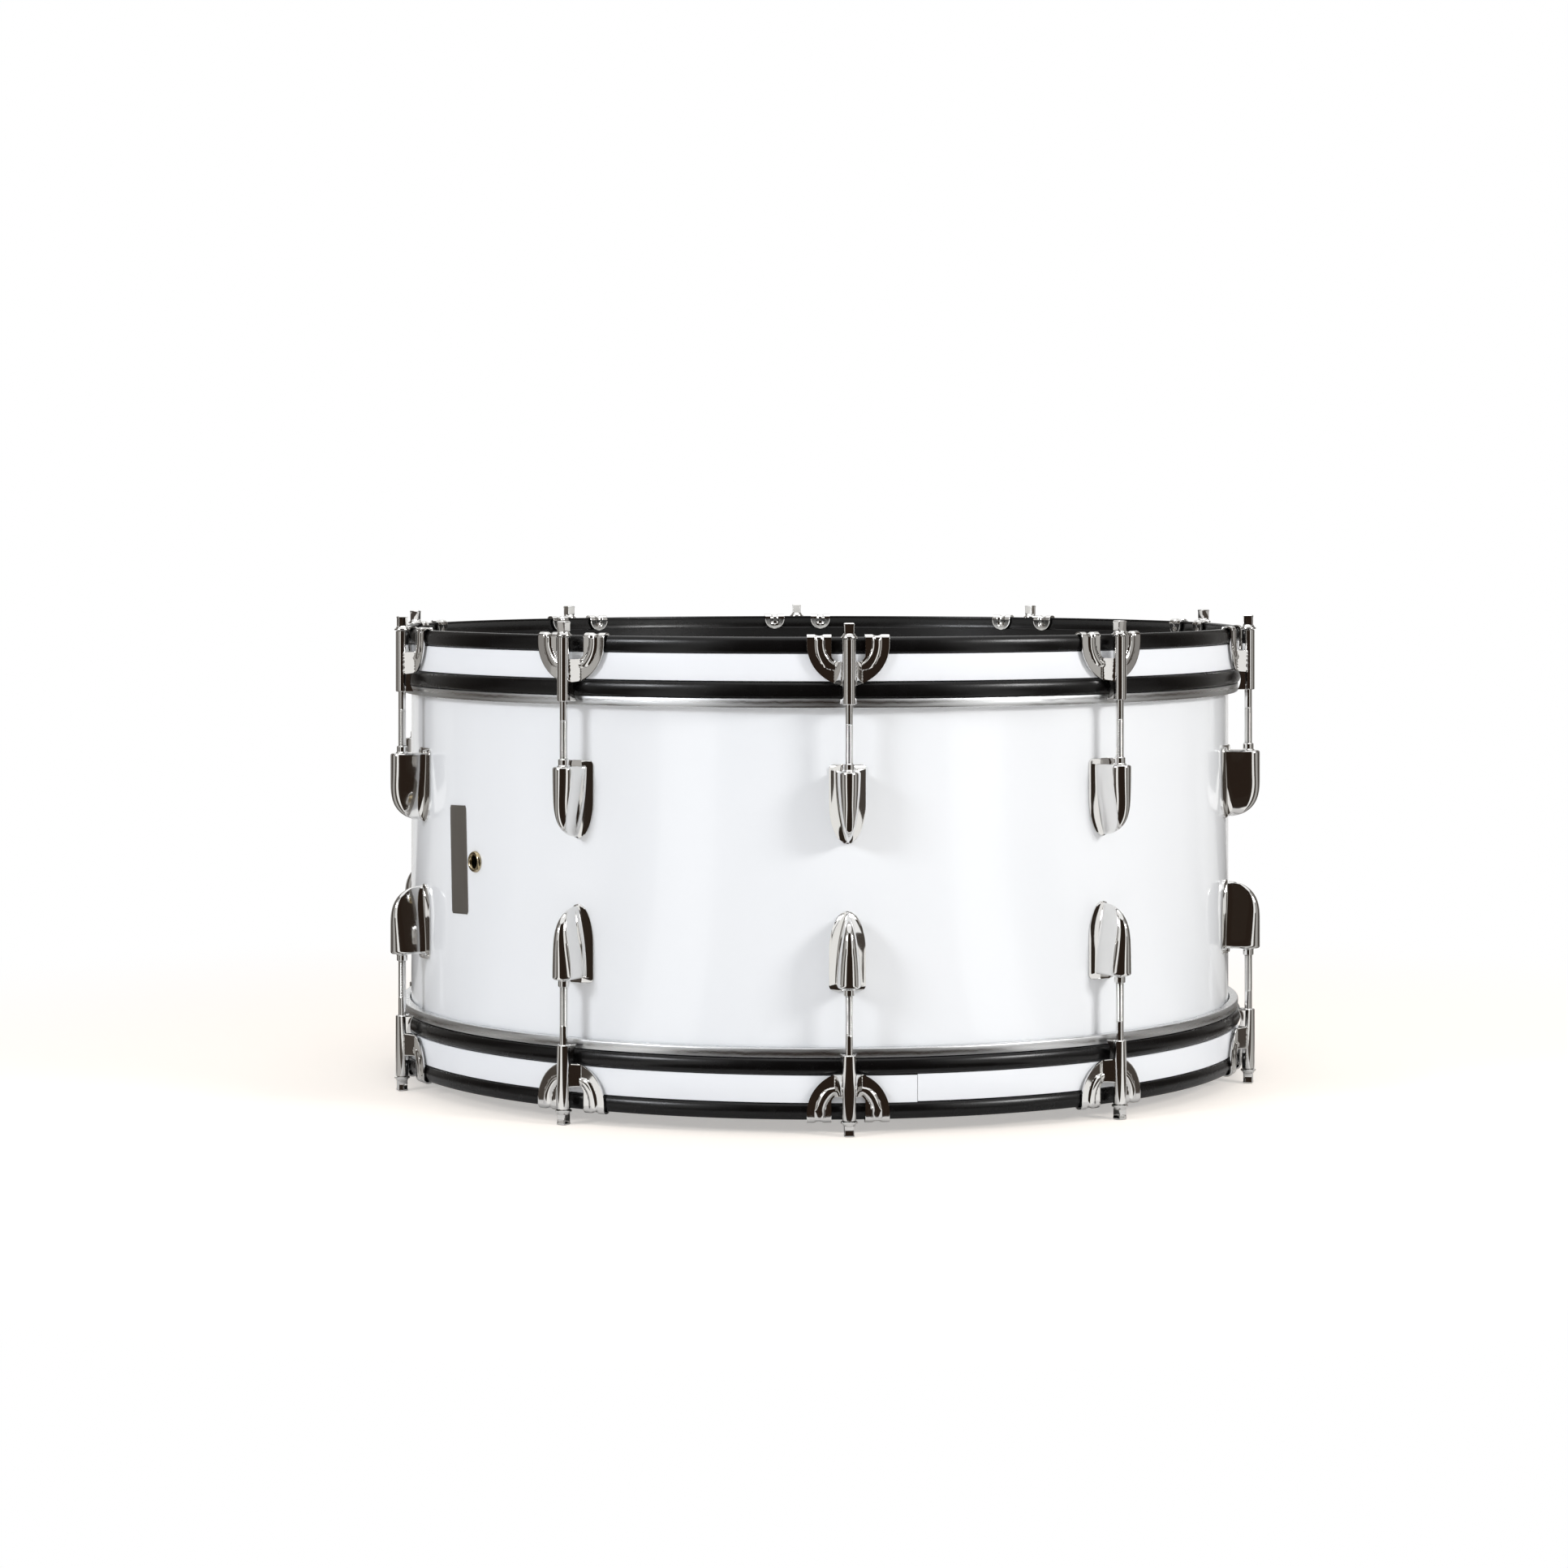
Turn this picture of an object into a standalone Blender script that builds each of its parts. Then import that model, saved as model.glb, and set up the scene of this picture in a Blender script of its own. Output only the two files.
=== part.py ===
"""Marching bass drum, 22 by 10 inches, with ten tension stations at each head.

Units are metres and +Z is up. The drum lies with its axis vertical, as it is stored, on the heads of its
ten lower tension rods: their ends are at z = 0 and the drum's axis is the Z axis. Station 0 faces -Y and
the others follow anticlockwise, seen from above.

Ring pieces are turned about Z with RING_FACETS flats. Each station lies at the middle of a flat, so that
lugs and claws seat on flat faces. What belongs to one station is modelled once, in a frame of its own:
x runs along the hoop, y points at the drum's axis and z points out of the drum, along the tension rod.
"""

import math

import bmesh
import bpy
from mathutils import Matrix

# Stations
STATIONS = 10
FACETS_PER_STATION = 4
RING_FACETS = STATIONS * FACETS_PER_STATION
STATION_ANGLE = 2 * math.pi / STATIONS
CLEARANCE = 0.0003
FLAT_ANGLE = math.radians(0.2)

# Shell
SHELL_DIAMETER = 0.5588
SHELL_DEPTH = 0.2540
SHELL_WALL = 0.0075
BEARING_EDGE_SETBACK = 0.0016
BEARING_EDGE_SLOPE_DEPTH = 0.0055
SHELL_RADIUS = SHELL_DIAMETER / 2
SHELL_TOP = SHELL_DEPTH / 2

# Drum head: a film with a collar that ends in the flesh hoop
FILM_THICKNESS = 0.0003
COLLAR_DROP = 0.0210

# Flesh hoop: the aluminium channel that holds the film's edge
FLESH_HOOP_SHELL_GAP = 0.0009
FLESH_HOOP_WIDTH = 0.0057
FLESH_HOOP_HEIGHT = 0.0059
FLESH_HOOP_LIP = 0.0006
FLESH_HOOP_GROOVE = 0.0022
FLESH_HOOP_FLOOR = 0.0012
FLESH_HOOP_INNER_RADIUS = SHELL_RADIUS + FLESH_HOOP_SHELL_GAP
FLESH_HOOP_OUTER_RADIUS = FLESH_HOOP_INNER_RADIUS + FLESH_HOOP_WIDTH

# Tension hoop: roll-formed sheet with a half-round bead along each edge
HOOP_HEIGHT = 0.0375
HOOP_ABOVE_BEARING_EDGE = 0.0205
HOOP_SHEET = 0.0015
HOOP_BEAD_HEIGHT = 0.0101
HOOP_BEAD_RISE = 0.0027
HOOP_BEAD_STEPS = 3
HOOP_EDGE_INSET = 0.0009
HOOP_EDGE = SHELL_TOP + HOOP_ABOVE_BEARING_EDGE
HOOP_SEAT = HOOP_EDGE - HOOP_HEIGHT
HOOP_WALL_RADIUS = FLESH_HOOP_OUTER_RADIUS - HOOP_EDGE_INSET
HOOP_CREST_RADIUS = HOOP_WALL_RADIUS + HOOP_BEAD_RISE
FLESH_HOOP_TOP = HOOP_SEAT - CLEARANCE

# Inlay: the plastic strip between the two beads
INLAY_THICKNESS = 0.0010

# Tension rod
ROD_AXIS_OFFSET = 0.0163
ROD_DIAMETER = 0.0055
ROD_LENGTH = 0.0980
ROD_FACETS = 8
ROD_HEAD_WIDTH = 0.0061
ROD_HEAD_HEIGHT = 0.0063
ROD_COLLAR_HEIGHT = 0.0030
ROD_COLLAR_DIAMETER = 0.0102
ROD_COLLAR_TOP_DIAMETER = 0.0070
ROD_AXIS_RADIUS = SHELL_RADIUS + ROD_AXIS_OFFSET
ROD_CLEARANCE_RADIUS = (ROD_DIAMETER / 2 + CLEARANCE) / math.cos(math.pi / ROD_FACETS)

# Claw: a pressed plate that hooks over the hoop, with a tube for the rod
CLAW_SHEET = 0.0013
CLAW_WIDTH = 0.0507
CLAW_HEIGHT = 0.0312
CLAW_ARC_STEPS = 5
CLAW_NOTCH_WIDTH = 0.0208
CLAW_NOTCH_DEPTH = 0.0164
CLAW_NOTCH_CORNER = 0.0040
CLAW_BEND = 0.0016
CLAW_TIP_DROP = 0.0087
CLAW_TIP_STEPS = 3
CLAW_TUBE_DIAMETER = 0.0084
CLAW_TUBE_LENGTH = 0.0401
CLAW_TUBE_BELOW_HOOP_EDGE = 0.0008
CLAW_TUBE_FACETS = 8
CLAW_WEB_ROOT_WIDTH = 0.0165
CLAW_FOOT_REACH = 0.0062
CLAW_FOOT_NECK = 0.0042

# Lug: a casting with a flat plate, a bullet-shaped dome and the neck of its swivel nut
LUG_PLATE_WIDTH = 0.0226
LUG_PLATE_THICKNESS = 0.0028
LUG_TIP_FROM_MIDDLE = 0.0205
LUG_PLATE_LENGTH = 0.0490
LUG_PLATE_TAPER_LENGTH = 0.0250
LUG_PLATE_CORNER = 0.0035
LUG_TAPER_STEPS = 4
LUG_DOME_WIDTH = 0.0144
LUG_DOME_DEPTH = 0.0240
LUG_DOME_END_INSET = 0.0034
LUG_DOME_TIP_INSET = 0.0012
LUG_DOME_CREST = 0.4
LUG_DOME_STEPS = 4
LUG_DOME_SECTIONS = (0.0, 0.45, 0.75, 1.0)
LUG_NECK_DIAMETER = 0.0072
LUG_NECK_RISE = 0.0046
ROD_ENGAGEMENT_CLEARANCE = 0.0030
LUG_ROOT_DEPTH = 0.0015

# Vent eyelet and badge, both on the shell
VENT_ANGLE = math.radians(-55.7)
VENT_FLANGE_DIAMETER = 0.0138
VENT_FLANGE_RISE = 0.0022
VENT_RIM_THICKNESS = 0.0009
VENT_BARREL_DIAMETER = 0.0104
VENT_BORE_DIAMETER = 0.0080
VENT_FACETS = 14
BADGE_ANGLE = math.radians(-60.0)
BADGE_WIDTH = 0.0215
BADGE_LENGTH = 0.0700
BADGE_THICKNESS = 0.0008
BADGE_CORNER = 0.0012
BADGE_LEAN = math.radians(2.4)

# Heights above the floor: the lower rods' heads stand on it
CLAW_SEAT = HOOP_EDGE - CLAW_TUBE_BELOW_HOOP_EDGE
ROD_SEAT = CLAW_SEAT + CLEARANCE
MIDDLE_HEIGHT = ROD_SEAT + ROD_COLLAR_HEIGHT + ROD_HEAD_HEIGHT

# Colours as linear values, with metallic and roughness
FINISHES = {
    "white_lacquer": ((0.83, 0.84, 0.85), 0.0, 0.12),
    "black_enamel": ((0.012, 0.011, 0.010), 0.0, 0.22),
    "white_plastic": ((0.80, 0.81, 0.83), 0.0, 0.30),
    "bright_aluminium": ((0.78, 0.78, 0.77), 1.0, 0.25),
    "white_film": ((0.86, 0.86, 0.84), 0.0, 0.35),
    "chrome_plate": ((0.72, 0.71, 0.70), 1.0, 0.06),
    "nickel_brass": ((0.62, 0.52, 0.36), 1.0, 0.22),
    "grey_badge": ((0.045, 0.040, 0.036), 0.4, 0.35),
}


def clear_scene():
    """Remove every object, so that the drum starts from an empty scene."""
    for obj in list(bpy.data.objects):
        bpy.data.objects.remove(obj, do_unlink=True)


def make_collection(name):
    """Make a collection under the scene's own one."""
    collection = bpy.data.collections.new(name)
    bpy.context.scene.collection.children.link(collection)
    return collection


def make_finish(name):
    """Make a Principled material from the table of finishes."""
    colour, metallic, roughness = FINISHES[name]
    material = bpy.data.materials.new(name)
    material.use_nodes = True
    shader = material.node_tree.nodes["Principled BSDF"]
    shader.inputs["Base Color"].default_value = (*colour, 1.0)
    shader.inputs["Metallic"].default_value = metallic
    shader.inputs["Roughness"].default_value = roughness
    return material


def facet_distance(radius, facets=RING_FACETS):
    """Give the distance from the axis to the middle of a flat of a ring."""
    return radius * math.cos(math.pi / facets)


def facet_distance_across(radius, across, facets=RING_FACETS):
    """Give how far a ring's faceted surface lies from the axis, at an offset across from a flat's middle."""
    step = 2 * math.pi / facets
    turn = step * round(math.asin(across / radius) / step)
    return (facet_distance(radius, facets) - across * math.sin(turn)) / math.cos(turn)


def arc_points(centre, radii, start, end, steps):
    """Give points of an elliptical arc, both ends included, with angles in degrees."""
    points = []
    for step in range(steps + 1):
        angle = math.radians(start + (end - start) * step / steps)
        x = centre[0] + radii[0] * math.cos(angle)
        y = centre[1] + radii[1] * math.sin(angle)
        points.append((x, y))
    return points


def place(obj, collection, finish=None):
    """Link an object to a collection and give it its finish."""
    collection.objects.link(obj)
    if finish is not None:
        obj.data.materials.clear()
        obj.data.materials.append(finish)
    return obj


def as_guide(obj):
    """Show an object as a wire that is never rendered, as a cutter or a joining piece is."""
    obj.hide_render = True
    obj.display_type = "WIRE"
    return obj


def turned(name, profile, facets, closed=False):
    """Turn a profile of (radius, height) points about Z with a Screw modifier.

    The middle of a flat faces the front, -Y, and so do the flats at every station.
    """
    mesh = bpy.data.meshes.new(name)
    start = math.pi / facets - math.pi / 2
    vertices = [(radius * math.cos(start), radius * math.sin(start), height) for radius, height in profile]
    count = len(vertices)
    edges = [(i, i + 1) for i in range(count - 1)]
    if closed:
        edges.append((count - 1, 0))
    mesh.from_pydata(vertices, edges, [])
    obj = bpy.data.objects.new(name, mesh)
    screw = obj.modifiers.new("Turn", "SCREW")
    screw.steps = facets
    screw.render_steps = facets
    screw.use_merge_vertices = True
    screw.merge_threshold = 0.00001
    return obj


def add_wall(obj, thickness):
    """Thicken an open surface inwards with a Solidify modifier."""
    wall = obj.modifiers.new("Wall", "SOLIDIFY")
    wall.thickness = thickness
    wall.offset = -1.0
    wall.use_even_offset = True


def extruded(name, outlines, thickness, transform):
    """Extrude flat outlines, by half the thickness each way, and place the mesh by a matrix."""
    curve = bpy.data.curves.new(name, "CURVE")
    curve.dimensions = "2D"
    curve.fill_mode = "BOTH"
    curve.extrude = thickness / 2
    for outline in outlines:
        spline = curve.splines.new("POLY")
        spline.points.add(len(outline) - 1)
        for point, (x, y) in zip(spline.points, outline):
            point.co = (x, y, 0.0, 1.0)
        spline.use_cyclic_u = True
    flat = bpy.data.objects.new(name + "_outline", curve)
    bpy.context.scene.collection.objects.link(flat)
    mesh = evaluated_mesh(flat, name)
    bpy.data.objects.remove(flat, do_unlink=True)
    weld(mesh)
    mesh.transform(transform)
    return bpy.data.objects.new(name, mesh)


def evaluated_mesh(obj, name):
    """Give a copy of an object's mesh with its modifiers applied."""
    graph = bpy.context.evaluated_depsgraph_get()
    graph.update()
    mesh = bpy.data.meshes.new_from_object(obj.evaluated_get(graph))
    mesh.name = name
    return mesh


def weld(mesh):
    """Merge doubled vertices and turn all faces outwards."""
    editor = bmesh.new()
    editor.from_mesh(mesh)
    bmesh.ops.remove_doubles(editor, verts=editor.verts, dist=0.000001)
    bmesh.ops.recalc_face_normals(editor, faces=editor.faces)
    editor.to_mesh(mesh)
    editor.free()


def cylinder(name, diameter, bottom, top, facets):
    """Make an upright cylinder with a flat facing along x."""
    mesh = bpy.data.meshes.new(name)
    editor = bmesh.new()
    bmesh.ops.create_cone(
        editor,
        cap_ends=True,
        segments=facets,
        radius1=diameter / 2,
        radius2=diameter / 2,
        depth=top - bottom,
        matrix=Matrix.Translation((0, 0, (top + bottom) / 2)) @ Matrix.Rotation(math.pi / facets, 4, "Z"),
    )
    editor.to_mesh(mesh)
    editor.free()
    return bpy.data.objects.new(name, mesh)


def combine(obj, tool, operation):
    """Join a tool to an object, or cut it out, with an exact Boolean modifier."""
    boolean = obj.modifiers.new(tool.name, "BOOLEAN")
    boolean.operation = operation
    boolean.solver = "EXACT"
    boolean.object = tool


def add_flat_cleanup(obj):
    """Join the coplanar faces that Boolean operations leave, with a planar Decimate modifier."""
    cleanup = obj.modifiers.new("Flat faces", "DECIMATE")
    cleanup.decimate_type = "DISSOLVE"
    cleanup.angle_limit = FLAT_ANGLE


def applied(obj):
    """Replace an object's mesh and modifiers by what they evaluate to, with its flat faces joined."""
    add_flat_cleanup(obj)
    mesh = evaluated_mesh(obj, obj.name)
    obj.modifiers.clear()
    obj.data = mesh
    return obj


def upright(outward):
    """Give the matrix that stands an (x, z) outline up, with its thickness centred at a y."""
    return Matrix.Translation((0, outward, 0)) @ Matrix.Rotation(math.pi / 2, 4, "X")


def sideways(across):
    """Give the matrix that stands a (y, z) outline up across x, centred at an x."""
    quarter_turns = Matrix.Rotation(math.pi / 2, 4, "Z") @ Matrix.Rotation(math.pi / 2, 4, "X")
    return Matrix.Translation((across, 0, 0)) @ quarter_turns


def station_matrix(station, height, upper):
    """Place a station's frame on its rod axis, turned over at the lower head."""
    angle = station * STATION_ANGLE
    turn = Matrix.Rotation(angle, 4, "Z")
    out = Matrix.Translation((0, -ROD_AXIS_RADIUS, height if upper else -height))
    over = Matrix.Identity(4) if upper else Matrix.Rotation(math.pi, 4, "Y")
    return Matrix.Translation((0, 0, MIDDLE_HEIGHT)) @ turn @ out @ over


def shell_profile():
    """Give the shell's section, with a bearing edge sloped to the inside at each end."""
    peak = SHELL_RADIUS - BEARING_EDGE_SETBACK
    shoulder = SHELL_TOP - BEARING_EDGE_SETBACK
    inner = SHELL_RADIUS - SHELL_WALL
    slope_foot = SHELL_TOP - BEARING_EDGE_SLOPE_DEPTH
    return [
        (peak, SHELL_TOP),
        (SHELL_RADIUS, shoulder),
        (SHELL_RADIUS, -shoulder),
        (peak, -SHELL_TOP),
        (inner, -slope_foot),
        (inner, slope_foot),
    ]


def film_profile():
    """Give the film's outer path: flat, over the bearing edge, and down into the flesh hoop."""
    top = SHELL_TOP + CLEARANCE + FILM_THICKNESS
    bend = SHELL_RADIUS - BEARING_EDGE_SETBACK + CLEARANCE + FILM_THICKNESS / 2
    shoulder_radius = SHELL_RADIUS + CLEARANCE + FILM_THICKNESS
    shoulder = SHELL_TOP - BEARING_EDGE_SETBACK
    groove = FLESH_HOOP_INNER_RADIUS + FLESH_HOOP_LIP + FLESH_HOOP_GROOVE / 2
    return [(0.0, top), (bend, top), (shoulder_radius, shoulder), (groove, top - COLLAR_DROP)]


def flesh_hoop_profile():
    """Give the channel's section, with its groove open towards the drum's end."""
    top = FLESH_HOOP_TOP
    bottom = top - FLESH_HOOP_HEIGHT
    lip = FLESH_HOOP_INNER_RADIUS + FLESH_HOOP_LIP
    wall = lip + FLESH_HOOP_GROOVE
    floor = bottom + FLESH_HOOP_FLOOR
    return [
        (wall, top),
        (FLESH_HOOP_OUTER_RADIUS, top),
        (FLESH_HOOP_OUTER_RADIUS, bottom),
        (FLESH_HOOP_INNER_RADIUS, bottom),
        (FLESH_HOOP_INNER_RADIUS, top),
        (lip, top),
        (lip, floor),
        (wall, floor),
    ]


def hoop_profile():
    """Give the outer face of the hoop's sheet: a half-round bead, a plain band, another bead."""
    half_bead = HOOP_BEAD_HEIGHT / 2
    points = []
    for middle in (HOOP_EDGE - half_bead, HOOP_SEAT + half_bead):
        centre = (HOOP_WALL_RADIUS, middle)
        points += arc_points(centre, (HOOP_BEAD_RISE, half_bead), 90, -90, HOOP_BEAD_STEPS)
    return points


def inlay_profile():
    """Give the strip's section, between the beads and against the band."""
    inner = HOOP_WALL_RADIUS + CLEARANCE
    outer = inner + INLAY_THICKNESS
    top = HOOP_EDGE - HOOP_BEAD_HEIGHT - CLEARANCE
    bottom = HOOP_SEAT + HOOP_BEAD_HEIGHT + CLEARANCE
    return [(outer, top), (outer, bottom), (inner, bottom), (inner, top)]


def loft(name, sections):
    """Skin closed sections of equal point counts and cap both ends."""
    editor = bmesh.new()
    rings = []
    for section in sections:
        rings.append([editor.verts.new(point) for point in section])
    count = len(rings[0])
    for ring, following in zip(rings, rings[1:]):
        for i in range(count):
            j = (i + 1) % count
            editor.faces.new((ring[i], ring[j], following[j], following[i]))
    editor.faces.new(rings[0])
    editor.faces.new(rings[-1])
    mesh = bpy.data.meshes.new(name)
    editor.to_mesh(mesh)
    editor.free()
    weld(mesh)
    return bpy.data.objects.new(name, mesh)


def lug_plate_outline():
    """Give the plate's front outline: straight sides, rounded corners and an elliptical tip."""
    half = LUG_PLATE_WIDTH / 2
    end = LUG_TIP_FROM_MIDDLE + LUG_PLATE_LENGTH
    taper = LUG_TIP_FROM_MIDDLE + LUG_PLATE_TAPER_LENGTH
    corner = half - LUG_PLATE_CORNER
    tip = arc_points((0, taper), (half, LUG_PLATE_TAPER_LENGTH), 180, 360, LUG_TAPER_STEPS)
    right = arc_points((corner, end - LUG_PLATE_CORNER), (LUG_PLATE_CORNER,) * 2, 0, 90, 2)
    left = arc_points((-corner, end - LUG_PLATE_CORNER), (LUG_PLATE_CORNER,) * 2, 90, 180, 2)
    return tip + right + left


def lug_dome_section(share, seat, full_depth):
    """Give the dome's section at a share of its length from the rod's end to the tip.

    The width falls as (1 - share^2)^0.75. The depth stays full up to the crest and then falls as a
    superellipse of degree 3 across and 2 in depth.
    """
    end = LUG_TIP_FROM_MIDDLE + LUG_PLATE_LENGTH - LUG_DOME_END_INSET
    tip = LUG_TIP_FROM_MIDDLE + LUG_DOME_TIP_INSET
    height = end + (tip - end) * share
    half = LUG_DOME_WIDTH / 2 * (1 - share**2) ** 0.75
    past_crest = max(0.0, (share - LUG_DOME_CREST) / (1 - LUG_DOME_CREST))
    depth = full_depth * math.sqrt(max(0.0, 1 - past_crest**3))
    round_depth = min(half, depth)
    side = seat - depth + round_depth
    points = [(half, seat, height)]
    for x, y in arc_points((0, side), (half, -round_depth), 0, 180, LUG_DOME_STEPS):
        points.append((x, y, height))
    points.append((-half, seat, height))
    return points


def make_lug():
    """Model one lug in its station's frame, with z = 0 at the drum's middle."""
    seat = ROD_AXIS_RADIUS - facet_distance(SHELL_RADIUS)
    thickness = LUG_PLATE_THICKNESS + LUG_ROOT_DEPTH
    middle = seat + LUG_ROOT_DEPTH - thickness / 2
    lug = extruded("lug", [lug_plate_outline()], thickness, upright(middle))
    full_depth = seat - (ROD_AXIS_RADIUS - SHELL_RADIUS - LUG_DOME_DEPTH)
    sections = [lug_dome_section(share, seat, full_depth) for share in LUG_DOME_SECTIONS]
    dome = loft("lug_dome", sections)
    dome_end = LUG_TIP_FROM_MIDDLE + LUG_PLATE_LENGTH - LUG_DOME_END_INSET
    neck_top = dome_end + LUG_NECK_RISE
    neck = cylinder("lug_neck", LUG_NECK_DIAMETER, dome_end - 2 * LUG_NECK_RISE, neck_top, ROD_FACETS)
    bore_bottom = ROD_SEAT - ROD_LENGTH - ROD_ENGAGEMENT_CLEARANCE
    bore = cylinder("lug_bore", 2 * ROD_CLEARANCE_RADIUS, bore_bottom, neck_top + LUG_NECK_RISE, ROD_FACETS)
    for tool in (dome, neck, bore):
        bpy.context.scene.collection.objects.link(tool)
    combine(lug, dome, "UNION")
    combine(lug, neck, "UNION")
    combine(lug, bore, "DIFFERENCE")
    bpy.context.scene.collection.objects.link(lug)
    applied(lug)
    for tool in (dome, neck, bore):
        bpy.data.objects.remove(tool, do_unlink=True)
    return lug


def make_lug_ring(lug):
    """Copy the lug to every station of both heads, as one mesh to be joined to the shell."""
    ring = bmesh.new()
    for station in range(STATIONS):
        for upper in (True, False):
            copy = lug.data.copy()
            copy.transform(station_matrix(station, 0, upper))
            ring.from_mesh(copy)
            bpy.data.meshes.remove(copy)
    mesh = bpy.data.meshes.new("lug_ring")
    ring.to_mesh(mesh)
    ring.free()
    return bpy.data.objects.new("lug_ring", mesh)


def claw_face_outline():
    """Give the claw's front outline: flat at the hoop's edge, half-round below, notched above."""
    half = CLAW_WIDTH / 2
    top = CLAW_TUBE_BELOW_HOOP_EDGE + CLEARANCE + CLAW_SHEET / 2
    bottom = top + CLAW_SHEET / 2 - CLAW_HEIGHT
    notch = CLAW_NOTCH_WIDTH / 2
    notch_bottom = top + CLAW_SHEET / 2 - CLAW_NOTCH_DEPTH
    corner = CLAW_NOTCH_CORNER
    outline = arc_points((0, bottom + half), (half, half), 180, 360, CLAW_ARC_STEPS)
    outline += [(half, top), (notch, top)]
    outline += arc_points((notch - corner, notch_bottom + corner), (corner, corner), 0, -90, 1)
    outline += arc_points((corner - notch, notch_bottom + corner), (corner, corner), -90, -180, 1)
    outline += [(-notch, top), (-half, top)]
    return outline


def claw_leg_face():
    """Give the y of the face that the claw's inner legs turn to the hoop, clear of it over their width."""
    hoop = facet_distance_across(HOOP_WALL_RADIUS - HOOP_SHEET, CLAW_WIDTH / 2)
    return ROD_AXIS_RADIUS - hoop + CLEARANCE


def claw_hook_outline():
    """Give the (y, z) section of the fold that passes over the hoop's edge, with bevelled bends."""
    outside = ROD_AXIS_RADIUS - facet_distance(HOOP_CREST_RADIUS) - CLEARANCE - CLAW_SHEET
    inside = claw_leg_face() + CLAW_SHEET
    under = CLAW_TUBE_BELOW_HOOP_EDGE + CLEARANCE
    over = under + CLAW_SHEET
    leg = under - CLAW_BEND
    return [
        (outside, leg),
        (outside + CLAW_SHEET, leg),
        (outside + CLAW_SHEET, under),
        (inside - CLAW_SHEET, under),
        (inside - CLAW_SHEET, leg),
        (inside, leg),
        (inside, over - CLAW_BEND),
        (inside - CLAW_BEND, over),
        (outside + CLAW_BEND, over),
        (outside, over - CLAW_BEND),
    ]


def claw_tip_outline(across):
    """Give the half-disc that ends a wing inside the hoop."""
    radius = (CLAW_WIDTH - CLAW_NOTCH_WIDTH) / 4
    bottom = CLAW_TUBE_BELOW_HOOP_EDGE - CLAW_TIP_DROP
    top = CLAW_TUBE_BELOW_HOOP_EDGE + CLEARANCE - CLAW_BEND / 2
    half_disc = arc_points((across, bottom + radius), (radius, radius), 180, 360, CLAW_TIP_STEPS)
    return half_disc + [(across + radius, top), (across - radius, top)]


def claw_web_outline(side, plate):
    """Give the (x, y) section of the web that joins the tube to the plate on one side."""
    tube = CLAW_TUBE_DIAMETER / 2
    root = CLAW_WEB_ROOT_WIDTH / 2
    outline = [
        (side * tube * 0.9, 0.0),
        (side * root, plate),
        (side * (root - CLAW_SHEET), plate + CLAW_SHEET / 2),
        (side * (tube * 0.9 - CLAW_SHEET), tube - CLAW_SHEET),
    ]
    return outline if side > 0 else outline[::-1]


def claw_foot_outline(plate_bottom):
    """Give the (y, z) section of the flared foot below the plate, on one side of the tube."""
    bottom = -CLAW_TUBE_LENGTH
    neck = (plate_bottom + bottom) / 2
    return [
        (0.0, plate_bottom + CLAW_SHEET),
        (0.0, bottom),
        (CLAW_FOOT_REACH, bottom),
        (CLAW_FOOT_NECK, neck),
        (CLAW_FOOT_REACH, plate_bottom + CLAW_SHEET),
    ]


def make_claw():
    """Model one claw in its station's frame, with z = 0 at the tube's outer end."""
    plate_inner = ROD_AXIS_RADIUS - facet_distance(HOOP_CREST_RADIUS) - CLEARANCE
    plate_outer = plate_inner - CLAW_SHEET
    tip_middle = claw_leg_face() + CLAW_SHEET / 2
    wing = (CLAW_WIDTH - CLAW_NOTCH_WIDTH) / 2
    wing_middle = (CLAW_WIDTH + CLAW_NOTCH_WIDTH) / 4
    top = CLAW_TUBE_BELOW_HOOP_EDGE + CLEARANCE + CLAW_SHEET
    bottom = top - CLAW_HEIGHT
    notch_bottom = top - CLAW_NOTCH_DEPTH

    claw = extruded("claw", [claw_face_outline()], CLAW_SHEET, upright((plate_inner + plate_outer) / 2))
    tools = []
    for side in (1, -1):
        fold = extruded("claw_fold", [claw_hook_outline()], wing, sideways(side * wing_middle))
        tip = extruded("claw_tip", [claw_tip_outline(side * wing_middle)], CLAW_SHEET, upright(tip_middle))
        web_middle = Matrix.Translation((0, 0, (notch_bottom + bottom) / 2))
        web_height = notch_bottom - bottom - CLAW_SHEET
        web = extruded("claw_web", [claw_web_outline(side, plate_outer)], web_height, web_middle)
        foot_middle = side * (CLAW_TUBE_DIAMETER / 2 - CLAW_SHEET)
        foot = extruded("claw_foot", [claw_foot_outline(bottom)], CLAW_SHEET, sideways(foot_middle))
        tools += [fold, tip, web, foot]
    tube = cylinder("claw_tube", CLAW_TUBE_DIAMETER, -CLAW_TUBE_LENGTH, 0.0, CLAW_TUBE_FACETS)
    tools.append(tube)
    margin = CLAW_SHEET
    bore = cylinder("claw_bore", 2 * ROD_CLEARANCE_RADIUS, -CLAW_TUBE_LENGTH - margin, margin, ROD_FACETS)
    for tool in tools:
        bpy.context.scene.collection.objects.link(tool)
        combine(claw, tool, "UNION")
    bpy.context.scene.collection.objects.link(bore)
    combine(claw, bore, "DIFFERENCE")
    bpy.context.scene.collection.objects.link(claw)
    applied(claw)
    for tool in tools + [bore]:
        bpy.data.objects.remove(tool, do_unlink=True)
    return claw


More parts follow.
